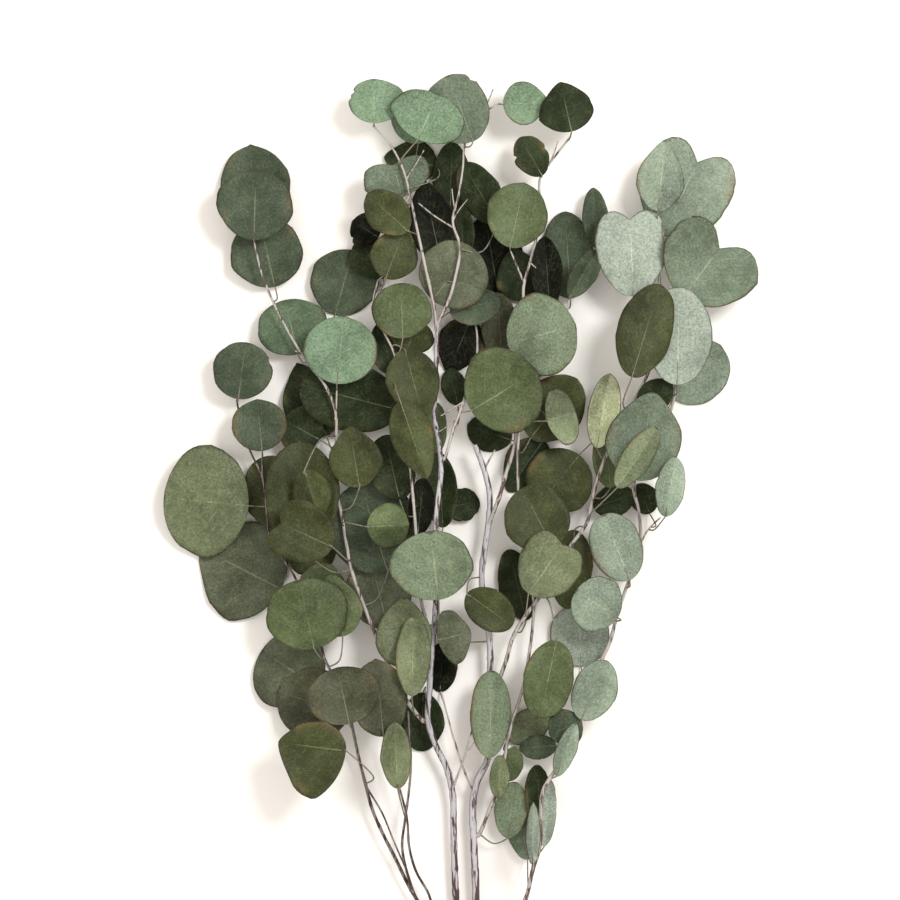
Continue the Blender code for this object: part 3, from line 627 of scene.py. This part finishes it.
leafLook = dict(softScale=34.0, cloudScale=130.0, grainScale=900.0, fineScale=650.0, fineShare=2.3,
                cloudShare=0.30, veins=8.0, veinSlant=0.42, veinWander=0.05, veinWidth=0.07,
                veinShare=0.34, ribWidth=0.034, ribTaper=-0.018, ribShare=0.85, ribPaleness=0.24,
                netScale=330.0, netShare=0.20, speckScale=330.0, speckShare=0.55, scorchShare=0.5,
                rimShare=0.8, undersideShare=0.5, specular=0.18, darkSpecular=0.07, bump=0.5,
                bumpDepth=0.0004)
rimColour = tint(58, 50, 36)
scorchColour = tint(112, 92, 58)
ribColour = tint(160, 164, 128)
speckColour = tint(58, 56, 40)
undersideColour = tint(131, 138, 115)


def makeLeafFinish(tone):
    look = leafLook
    body, bloom, shadow = [tint(*paint) for paint in leafTones[tone]]
    paler = (*[min(1.0, value * 1.7 + 0.004) for value in body[:3]], 1.0)
    specular = look["darkSpecular"] if tone in ("deepShade", "night") else look["specular"]
    finish, tree, shader = newFinish("leaf_" + tone, 0.6, specular)
    spot = addNode(tree, "TexCoord").outputs["Object"]
    sheet = split(tree, addNode(tree, "UVMap", uv_map="bladeUv").outputs["UV"])
    soft = mottle(tree, spot, look["softScale"], 2.0)
    cloud = mottle(tree, spot, look["cloudScale"], 4.0, 0.6)
    grain = mottle(tree, spot, look["grainScale"], 3.0, 0.6)
    fine = mottle(tree, spot, look["fineScale"], 4.0, 0.75)
    colour = blendColours(tree, band(tree, soft, 0.44, 0.72), body, bloom)
    colour = wash(tree, colour, shadow, band(tree, soft, 0.5, 0.28), 0.6)
    colour = wash(tree, colour, bloom, band(tree, cloud, 0.46, 0.72), 0.45)
    colour = wash(tree, colour, shadow, band(tree, grain, 0.52, 0.30), 0.35)
    # Side veins slant forwards from the rib, and both fade in places
    out = compute(tree, "ABSOLUTE", timesPlus(tree, sheet[1], 2.0, -1.0))
    phase = compute(tree, "SUBTRACT", sheet[0], times(tree, out, look["veinSlant"]))
    wander = timesPlus(tree, cloud, look["veinWander"], -0.5 * look["veinWander"])
    phase = times(tree, compute(tree, "ADD", phase, wander), look["veins"])
    wave = compute(tree, "ABSOLUTE", compute(tree, "SUBTRACT", compute(tree, "FRACT", phase), 0.5))
    vein = times(tree, band(tree, wave, look["veinWidth"], 0.0), band(tree, out, 1.0, 0.5))
    vein = times(tree, vein, band(tree, cloud, 0.35, 0.6))
    ribWidth = timesPlus(tree, sheet[0], look["ribTaper"], look["ribWidth"])
    rib = band(tree, compute(tree, "DIVIDE", out, ribWidth), 1.0, 0.35)
    ribFade = times(tree, band(tree, sheet[0], 1.05, 0.45), band(tree, soft, 0.30, 0.52))
    lightRib = blendColours(tree, look["ribPaleness"], paler, ribColour)
    colour = wash(tree, colour, lightRib, vein, look["veinShare"])
    colour = wash(tree, colour, lightRib, times(tree, rib, ribFade), look["ribShare"])
    net = band(tree, cellDistance(tree, spot, look["netScale"], "DISTANCE_TO_EDGE"), 0.10, 0.0)
    net = times(tree, net, band(tree, cloud, 0.36, 0.62))
    colour = wash(tree, colour, lightRib, net, look["netShare"])
    specks = band(tree, cellDistance(tree, spot, look["speckScale"], "F1"), 0.22, 0.10)
    specks = times(tree, specks, band(tree, cloud, 0.50, 0.66))
    colour = wash(tree, colour, speckColour, specks, look["speckShare"])
    scorch = times(tree, band(tree, out, 0.60, 1.0), band(tree, soft, 0.55, 0.68))
    colour = wash(tree, colour, scorchColour, scorch, look["scorchShare"])
    rim = compute(tree, "MAXIMUM", band(tree, out, 0.94, 1.0), band(tree, sheet[0], 0.98, 1.0))
    colour = wash(tree, colour, rimColour, rim, look["rimShare"])
    upward = split(tree, addNode(tree, "NewGeometry").outputs["Normal"])[2]
    colour = wash(tree, colour, undersideColour, band(tree, upward, 0.0, -0.25),
                  look["undersideShare"])
    # The shade attribute carries each leaf's own brightness and its painted shade; noise adds random tone
    shade = addNode(tree, "Attribute", attribute_name="shade").outputs["Fac"]
    shade = timesPlus(tree, compute(tree, "SUBTRACT", fine, 0.5), look["fineShare"], shade)
    shade = timesPlus(tree, compute(tree, "SUBTRACT", cloud, 0.5), look["cloudShare"], shade)
    shaded = addNode(tree, "HueSaturation", dict(Color=colour, Value=shade))
    tree.links.new(shaded.outputs["Color"], shader.inputs["Base Color"])
    tree.links.new(timesPlus(tree, cloud, 0.30, 0.40), shader.inputs["Roughness"])
    relief = compute(tree, "ADD", times(tree, vein, 0.5), times(tree, rib, 0.8))
    relief = timesPlus(tree, cloud, 1.2, relief)
    emboss(tree, shader, look, timesPlus(tree, grain, 0.5, relief))
    return finish


# Bark finishes: body, patch and streak colours of each kind, and where the patches begin; the patch
# colour also paints shade on the stems' flanks
barkTones = dict(
    bark=((180, 176, 178), (70, 47, 45), (112, 104, 103), 0.51),
    ash=((184, 180, 182), (74, 54, 50), (114, 106, 105), 0.53),
    twig=((174, 166, 159), (80, 62, 56), (112, 100, 94), 0.52),
    brown=((132, 118, 112), (50, 36, 32), (76, 60, 54), 0.47),
    stalk=((124, 120, 102), (78, 62, 52), (90, 88, 68), 0.54))
barkLook = dict(patchScale=(420.0, 50.0, 420.0), patchEdge=0.08, streakScale=(900.0, 70.0, 900.0),
                streakShare=0.7, grainScale=1200.0, grainShare=0.6, sideShare=0.07, lowShare=0.15,
                lowRange=(-0.16, -0.26), flankShadeTop=0.8, flankShadeShare=0.8, bump=0.6, bumpDepth=0.0004)


def makeBarkFinish(kind):
    look = barkLook
    body, patchAndShade, streak = [tint(*paint) for paint in barkTones[kind][:3]]
    patchStart = barkTones[kind][3]
    finish, tree, shader = newFinish("wood_" + kind, 0.66, 0.35)
    spot = addNode(tree, "TexCoord").outputs["Object"]
    normal = split(tree, addNode(tree, "NewGeometry").outputs["Normal"])
    streaks = drawnOutMottle(tree, spot, look["streakScale"], 0.65)
    patches = drawnOutMottle(tree, spot, look["patchScale"], 0.6)
    grain = mottle(tree, spot, look["grainScale"], 2.0)
    # Browner on the side towards the light and near the foot
    low = band(tree, split(tree, spot)[1], *look["lowRange"])
    patches = timesPlus(tree, normal[0], look["sideShare"], patches)
    patches = timesPlus(tree, low, look["lowShare"], patches)
    patched = band(tree, patches, patchStart, patchStart + look["patchEdge"])
    colour = blendColours(tree, patched, body, patchAndShade)
    colour = wash(tree, colour, streak, band(tree, streaks, 0.55, 0.72), look["streakShare"])
    colour = wash(tree, colour, patchAndShade, band(tree, grain, 0.58, 0.72), look["grainShare"])
    # Painted shade: the sides of each stem, where its surface turns down from the top, are darkened with
    # the patch colour
    paintedFlankShade = band(tree, normal[2], look["flankShadeTop"], 0.0)
    colour = wash(tree, colour, patchAndShade, paintedFlankShade, look["flankShadeShare"])
    tree.links.new(colour, shader.inputs["Base Color"])
    tree.links.new(timesPlus(tree, streaks, 0.3, 0.48), shader.inputs["Roughness"])
    emboss(tree, shader, look, timesPlus(tree, grain, 0.4, streaks))
    return finish


leafFinishes = {tone: makeLeafFinish(tone) for tone in leafTones}
barkFinishes = {kind: makeBarkFinish(kind) for kind in barkTones}
print("finishes made")


def selectOnly(objects):
    bpy.ops.object.select_all(action="DESELECT")
    for chosen in objects:
        chosen.select_set(True)
    bpy.context.view_layer.objects.active = objects[0]


def joinAll(objects, name):
    selectOnly(objects)
    if len(objects) > 1:
        bpy.ops.object.join()
    joined = bpy.context.view_layer.objects.active
    joined.name = name
    joined.data.name = name
    return joined


def editWhole(operator, **settings):
    bpy.ops.object.mode_set(mode="EDIT")
    bpy.ops.mesh.select_all(action="SELECT")
    operator(**settings)
    bpy.ops.object.mode_set(mode="OBJECT")


# One blade is made as a sheet, and every leaf is a shaped copy of it
bladeLook = dict(rowsLong=22, rowsWide=12, thickness=0.0006, ripple=0.0005, rippleTurns=3.0,
                 edgeWander=0.015, dimple=0.00025, topFrom=100, topCurl=(-0.0015, 0.0035),
                 lowCurl=(-0.0005, 0.0007), shadeLow=0.93, shadeHigh=1.07,
                 shadeLong=0.30, shadeWide=0.22, foldShade=0.34)


def makeBladeSheet():
    bpy.ops.object.select_all(action="DESELECT")
    bpy.ops.mesh.primitive_grid_add(x_subdivisions=bladeLook["rowsLong"],
                                    y_subdivisions=bladeLook["rowsWide"], size=2.0)
    sheet = bpy.context.object
    editWhole(bpy.ops.transform.translate, value=(1.0, 0.0, 0.0))
    editWhole(bpy.ops.transform.resize, value=(0.5, 1.0, 1.0), center_override=(0.0, 0.0, 0.0))
    sheet.data.uv_layers[0].name = "bladeUv"
    uvs = sheet.data.uv_layers[0].data
    for loop in sheet.data.loops:
        spot = sheet.data.vertices[loop.vertex_index].co
        uvs[loop.index].uv = ((1 - math.cos(math.pi * spot.x)) / 2, (spot.y + 1) / 2)
    sheet.data.attributes.new("shade", "FLOAT", "POINT")
    return sheet


# Outlines: places along the blade, and the width there as a share of an oval's
outlineTrims = dict(round=(rowPlaces, (0.95, 0.967, 1.006, 1.018, 1.013, 1.0)),
                    point=(rowPlaces, (0.95, 0.967, 1.017, 0.86, 0.60, 0.5)),
                    small=(smallPlaces, (0.9, 0.923, 1.0, 0.923, 0.9)))
heartOutline = ((0.0, 0.02, 0.06, 0.14, 0.26, 0.4, 0.55, 0.65),
                (0.0, 0.25, 0.42, 0.62, 0.82, 0.95, 1.0, 1.0))
# Leaves with a torn or bitten rim, by the place of their base in the picture, and how deep
tornRims = {(374, 124): 0.15, (473, 142): 0.14, (238, 399): 0.06, (542, 176): 0.20,
            (378, 236): 0.18, (441, 262): 0.06, (544, 846): 0.12, (541, 828): 0.14,
            (445, 508): 0.16, (557, 747): 0.10, (663, 516): 0.08, (350, 715): 0.05}


def smoothStep(value, low, high):
    share = np.clip((value - low) / (high - low), 0, 1)
    return share * share * (3 - 2 * share)


def roundOff(past, span):
    return np.sqrt(np.clip(1 - (np.clip(past, 0, 1) / span) ** 2, 0, 1))


# Half the blade's width at each share of its length, far, as a share of its widest
def bladeHalf(form, far):
    if form["outline"] == "heart":
        sideReach = far - 0.1 * smoothStep(far, 0.5, 1.0)
        rounding = roundOff(sideReach - 0.65, 0.35)
        return np.interp(sideReach, *heartOutline) * (0.5 + 0.5 * rounding)
    return np.sqrt(np.clip(4 * far * (1 - far), 0, 1)) * np.interp(far, *outlineTrims[form["outline"]])


# Where each point lies along the rib: the tip is lobed, notched or dented
def bladeReach(form, far, offset, draw):
    if form["outline"] == "heart":
        across = offset * 0.85
        dip = 1 - form["notch"] * (1 - np.sin(np.pi / 2 * np.clip(across / 0.5, 0, 1)))
        lobe = 1 - 0.35 * (1 - roundOff(across - 0.5, 0.5))
        ends = np.where(across > 0.5, lobe, dip)
        return far - (1 - ends) * smoothStep(far, 0.5, 1.0)
    if form["notch"]:
        return far - form["notch"] * smoothStep(far, 0.7, 1.0) * (1 - offset) ** 1.5
    return far - draw.uniform(-0.03, 0.03) * smoothStep(far, 0.85, 1.0) * (1 - offset)


def rimWander(item, far, side, phases):
    wander = bladeLook["edgeWander"] * (np.sin(9 * far + phases[0] + 2 * side)
                                        + 0.6 * np.sin(19 * far + phases[1] + 3 * side)
                                        + 0.35 * np.sin(41 * far + phases[2] + side))
    torn = tornRims.get(item["base"], 0.0)
    if torn:
        bites = (np.sin(13 * far + phases[3] + 2.2 * side)
                 + 0.5 * np.sin(37 * far + phases[4]) - 0.35)
        wander = wander - torn * np.clip(bites, 0, 1) * smoothStep(far, 0.3, 0.6)
    return wander


def shapeBlade(blade, item, draw):
    look = bladeLook
    form = item["form"]
    flat = np.zeros(len(blade.data.vertices) * 3)
    blade.data.vertices.foreach_get("co", flat)
    flat = flat.reshape(-1, 3)
    far = (1 - np.cos(np.pi * flat[:, 0])) / 2
    across = flat[:, 1]
    side, offset = np.sign(across), np.abs(across)
    half = bladeHalf(form, far)
    swells = [np.interp(far, form["places"], form["swells"][:, column]) for column in (0, 2)]
    swell = np.where(across > 0, swells[0] * form["lean"][0], swells[1] * form["lean"][1])
    phases = [draw.uniform(0, 6.28) for wave in range(6)]
    wander = rimWander(item, far, side, phases)
    out = across * form["width"] * half * (swell + wander * offset)
    reach = bladeReach(form, far, offset, draw)
    spot = (form["base"] + form["ahead"] * (form["length"] * reach)[:, None]
            + form["left"] * out[:, None])
    fold = np.sqrt(out ** 2 + (0.08 * form["width"]) ** 2) - 0.08 * form["width"]
    rim = offset ** 2 * np.clip(half * 1.5, 0, 1)
    ripple = np.sin(look["rippleTurns"] * 6.28 * far + phases[5] + 3 * side)
    height = (form["pitch"] * form["length"] * far + form["roll"] * out + form["cup"] * fold
              - form["droop"] * form["length"] * far ** 2
              + 0.0012 * rim * np.sin(9 * far + form["turn"] + side)
              + look["ripple"] * rim * ripple)
    # Leaves on top are free to curl, those below lie nearly flat
    span = look["topCurl"] if form["order"] > look["topFrom"] else look["lowCurl"]
    curls = (draw.uniform(*span), draw.uniform(*span))
    curl = np.where(across > 0, curls[0], curls[1])
    height += curl * offset ** 3 * smoothStep(far, 0.0, 0.25) * half
    height += draw.uniform(*span) * smoothStep(far, 0.55, 1.0) * 0.8
    dimples = (np.sin(spot[:, 0] * 210 + phases[0]) * np.sin(spot[:, 1] * 190 + phases[1])
               + 0.5 * np.sin(spot[:, 0] * 470 + phases[2]) * np.sin(spot[:, 1] * 430 + phases[3]))
    height += look["dimple"] * dimples + form["level"]
    points = np.column_stack([spot, np.maximum(height, look["thickness"] * 0.55)])
    blade.data.vertices.foreach_set("co", points.reshape(-1))
    # Each leaf's own brightness is drawn at random; the gradients along and across the blade are painted
    # shade standing in for the shading of its bend
    shade = (draw.uniform(look["shadeLow"], look["shadeHigh"])
             + draw.uniform(-1, 1) * look["shadeLong"] * (far - 0.5)
             + draw.uniform(-1, 1) * look["shadeWide"] * across * half)
    # Painted light and shade on folded leaves: one half of the blade lighter, the other darker
    cup = item["shape"].get("cup", 0)
    if abs(cup) > 0.3:
        shade += look["foldShade"] * smoothStep(-across * np.sign(cup), -0.06, 0.06) - 0.1
    blade.data.attributes["shade"].data.foreach_set("value", shade)
    blade.data.update()


def copyBlade(sheet, item, number):
    blade = bpy.data.objects.new("blade", sheet.data.copy())
    bpy.context.collection.objects.link(blade)
    shapeBlade(blade, item, random.Random(number * 11 + 5))
    blade.data.materials.append(leafFinishes[item["tone"]])
    return blade


# Wood and stalks are beveled curves turned into mesh
stemShares = dict(m1=0.76, c=0.95, f1=0.68, f2=0.68)
woodLook = dict(sides=10, wobble=0.05, joinDepth=0.65, knuckle=0.25, knuckleRun=0.004,
                twigShare=0.82, knotStep=0.017, knotSwell=0.16, endShare=0.7, floorGap=0.00002)
stalkLook = dict(sides=6, radius=0.00055, tip=0.0002, back=0.6, sag=0.26, bow=0.14,
                 ribShares=(0.07, 0.13, 0.19, 0.25), ribLift=0.0001, shortest=0.006)


def makeRod(name, points, radii, sides, finish):
    shape = bpy.data.curves.new(name, "CURVE")
    shape.dimensions = "3D"
    spline = shape.splines.new("POLY")
    spline.points.add(len(points) - 1)
    for knot, spot, radius in zip(spline.points, points, radii):
        knot.co = (*spot, 1.0)
        knot.radius = radius
    shape.bevel_depth = 1.0
    shape.bevel_resolution = max(0, sides // 2 - 2)
    shape.use_fill_caps = True
    rod = bpy.data.objects.new(name, shape)
    bpy.context.collection.objects.link(rod)
    shape.materials.append(finish)
    selectOnly([rod])
    bpy.ops.object.convert(target="MESH")
    return bpy.context.view_layer.objects.active


def makeWood(name, laid, parentRoute, kind, number):
    look = woodLook
    draw = random.Random(number * 13 + 1)
    route = laid["route"]
    knots = route
    if parentRoute is not None:
        joint = along(parentRoute, nearestOn(parentRoute, route[0, :2]))
        start = route[0].copy()
        start[:3] += (joint[:3] - route[0, :3]) * look["joinDepth"]
        knots = np.vstack([start, route]) if np.linalg.norm(start[:3] - route[0, :3]) > 3e-4 else route
    dense = curveThrough(list(knots), 6)
    marks = np.concatenate([[0.0], np.cumsum(np.linalg.norm(np.diff(dense[:, :3], axis=0), axis=1))])
    wobble = np.array([draw.uniform(-1, 1) for mark in marks]) * look["wobble"]
    swell = 0.0
    if parentRoute is not None:
        swell = look["knuckle"] * np.exp(-(marks / look["knuckleRun"]) ** 2)
    rings = look["knotSwell"] * np.clip(np.cos(2 * np.pi * marks / look["knotStep"]
                                                   + draw.uniform(0, 6)), 0, 1) ** 12
    slim = stemShares.get(name, look["twigShare"])
    radii = dense[:, 3] * (1 + wobble + swell + rings) * slim
    if parentRoute is not None:
        radii[-1] *= look["endShare"]
    points = dense[:, :3]
    points[:, 2] = np.maximum(points[:, 2], radii + look["floorGap"])
    return makeRod("wood", points, radii, look["sides"], barkFinishes[kind])


def makeStalk(item, number):
    look = stalkLook
    form, rows = item["form"], item["rows"]
    base = rows[0, 1]
    route = stems[item["on"]]["route"]
    back = base[:2] - rows[-1, 1, :2]
    back = back / np.hypot(*back)
    reach = nearestOn(route, base[:2])[2]
    climb = abs(base[2] - along(route, nearestOn(route, base[:2]))[2])
    spot = along(route, nearestOn(route, base[:2] + back * (reach + climb) * look["back"]))[:3]
    middle = spot * 0.5 + base * 0.5
    lean = random.Random(number * 19 + 3).uniform(-look["bow"], look["bow"])
    bow = back * look["sag"] + np.array([-back[1], back[0]]) * lean
    middle[:2] += bow * (reach + climb * look["back"])
    inside = []
    for share in look["ribShares"]:
        height = (form["pitch"] * form["length"] * share
                  - form["droop"] * form["length"] * share ** 2 + form["level"])
        flat = form["base"] + form["ahead"] * form["length"] * share
        inside.append(np.array([flat[0], flat[1], height + look["ribLift"]]))
    apart = np.linalg.norm(base - spot) > look["shortest"]
    knots = [spot, middle, base] if apart else [spot, base]
    dense = curveThrough(knots + inside, 6)
    share = np.linspace(0, 1, len(dense))
    radii = look["radius"] + (look["tip"] - look["radius"]) * share ** 1.5
    dense[:, 2] = np.maximum(dense[:, 2], radii + woodLook["floorGap"])
    return makeRod("stalk", dense, radii, look["sides"], barkFinishes["stalk"])


# Bare side twigs too fine for the solids: stem, start and end in the picture, start radius
sprigs = (("f2", (479, 118), (493, 90), 0.0007), ("c2", (545, 163), (558, 141), 0.0006),
          ("f1", (408, 180), (424, 151), 0.0006), ("f1", (410, 196), (396, 214), 0.0006),
          ("f2", (457, 212), (452, 190), 0.0006), ("f2", (456, 222), (468, 200), 0.0005),
          ("n", (463, 402), (441, 416), 0.0006), ("n", (458, 420), (439, 432), 0.0005),
          ("c", (484, 470), (495, 450), 0.0008), ("p", (303, 357), (295, 351), 0.0006),
          ("o", (378, 280), (392, 272), 0.0005), ("k2", (466, 752), (474, 742), 0.0006),
          ("r", (538, 850), (534, 838), 0.0007), ("c2", (530, 262), (536, 268), 0.0006),
          ("m1", (437, 335), (441, 318), 0.0012), ("a2", (353, 722), (346, 712), 0.0006))
sprigLook = dict(sides=6, lift=(0.001, 0.004), bend=0.0008, taper=0.45, bud=0.5, budRun=0.08)


def makeSprig(on, start, end, radius, number):
    draw = random.Random(number * 17 + 2)
    route = stems[on]["route"]
    spot = along(route, nearestOn(route, place(start)))[:3]
    far = np.array([*place(end), spot[2] + draw.uniform(*sprigLook["lift"])])
    bend = np.array([draw.uniform(-1, 1), draw.uniform(-1, 1), 0.5]) * sprigLook["bend"]
    middle = (spot + far) / 2 + bend
    dense = curveThrough([spot, middle, far], 5)
    share = np.linspace(0, 1, len(dense))
    bud = sprigLook["bud"] * np.exp(-((share - 1) / sprigLook["budRun"]) ** 2)
    radii = radius * (1 - sprigLook["taper"] * share) * (1 + bud)
    return makeRod("sprig", dense, radii, sprigLook["sides"], barkFinishes["twig"])


woodKinds = dict(m1="bark", c="ash", a="brown", a2="brown", a3="brown", d="brown", d2="brown",
                 b="brown", k="brown", k2="twig", k4="twig")
nodeSlots = {entry["node"]: entry["material_slot"] for entry in frame["record"]["subparts"]}
bladeSheet = makeBladeSheet()

for node in nodeSlots:
    blades, rods = [], []
    for number, item in enumerate(growth):
        if item["kind"] == "stem" and item["node"] == node:
            parent = stems.get(item["parent"])
            kind = woodKinds.get(item["name"], "twig")
            rods.append(makeWood(item["name"], stems[item["name"]],
                                 parent["route"] if parent else None, kind, number))
        elif item["kind"] == "leaf" and stems[item["on"]]["node"] == node:
            blades.append(copyBlade(bladeSheet, item, number))
            rods.append(makeStalk(item, number))
    for number, (on, start, end, radius) in enumerate(sprigs):
        if stems[on]["node"] == node:
            rods.append(makeSprig(on, start, end, radius, number))
    wood = joinAll(rods, node + "_wood")
    bpy.ops.object.shade_smooth()
    pieces = [wood]
    if blades:
        leaves = joinAll(blades, node + "_leaves")
        editWhole(bpy.ops.mesh.remove_doubles, threshold=0.000002)
        wall = leaves.modifiers.new("thickness", "SOLIDIFY")
        wall.thickness = bladeLook["thickness"]
        wall.offset = 0.0
        bpy.ops.object.modifier_apply(modifier=wall.name)
        bpy.ops.object.shade_smooth()
        pieces.append(leaves)
    for piece in pieces:
        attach(piece, "root")
        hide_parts(node)
    print(node, len(blades), "leaves")
bpy.data.objects.remove(bladeSheet)

# Floor, light and camera
floorLook = dict(size=6.0, height=-0.0004, colour=tint(247, 242, 236), roughness=0.9)
bpy.ops.object.select_all(action="DESELECT")
bpy.ops.mesh.primitive_plane_add(size=floorLook["size"], location=(0.0, 0.0, 0.0))
floor = bpy.context.object
floor.name = "floor"
editWhole(bpy.ops.transform.translate, value=(0.0, 0.0, floorLook["height"]))
floorFinish, floorTree, floorShader = newFinish("paper_floor", floorLook["roughness"], 0.2)
floorShader.inputs["Base Color"].default_value = floorLook["colour"]
floor.data.materials.append(floorFinish)

skyLook = dict(strength=0.98, colour=(1.0, 0.972, 0.948, 1.0))
lampLooks = dict(window=dict(spot=(1.0, 0.9, 1.9), power=34.0, size=0.7, colour=(0.965, 0.99, 1.0)),
                 bounce=dict(spot=(-1.3, 0.5, 1.6), power=7.0, size=1.6, colour=(1.0, 0.97, 0.94)))
lampTarget = Vector((0.0, 0.05, 0.0))
world = bpy.data.worlds.new("soft_room")
world.use_nodes = True
world.node_tree.nodes["Background"].inputs["Color"].default_value = skyLook["colour"]
world.node_tree.nodes["Background"].inputs["Strength"].default_value = skyLook["strength"]
bpy.context.scene.world = world


def addLight(name, spot, power, size, colour):
    bpy.ops.object.light_add(type="AREA", location=spot)
    lamp = bpy.context.object
    lamp.name = name
    lamp.data.energy = power
    lamp.data.shape = "DISK"
    lamp.data.size = size
    lamp.data.color = colour
    lamp.rotation_euler = (lampTarget - Vector(spot)).to_track_quat("-Z", "Y").to_euler()


for name, look in lampLooks.items():
    addLight(name, **look)

cameraLook = dict(distance=2.6, pictureMiddle=450.0, levelSeen=0.022, pictureSize=900.0, sensor=36.0)
middle = place((cameraLook["pictureMiddle"], cameraLook["pictureMiddle"]))
bpy.ops.object.camera_add(location=(middle[0], middle[1], cameraLook["distance"]))
camera = bpy.context.object
camera.name = "overhead_camera"
camera.rotation_euler = (0.0, 0.0, 0.0)
camera.data.sensor_width = cameraLook["sensor"]
camera.data.lens = (cameraLook["sensor"] * (cameraLook["distance"] - cameraLook["levelSeen"])
                    / (cameraLook["pictureSize"] * layout["pixelSize"]))
bpy.context.scene.camera = camera
bpy.context.scene.view_settings.view_transform = "Standard"
print("floor, light and camera placed")
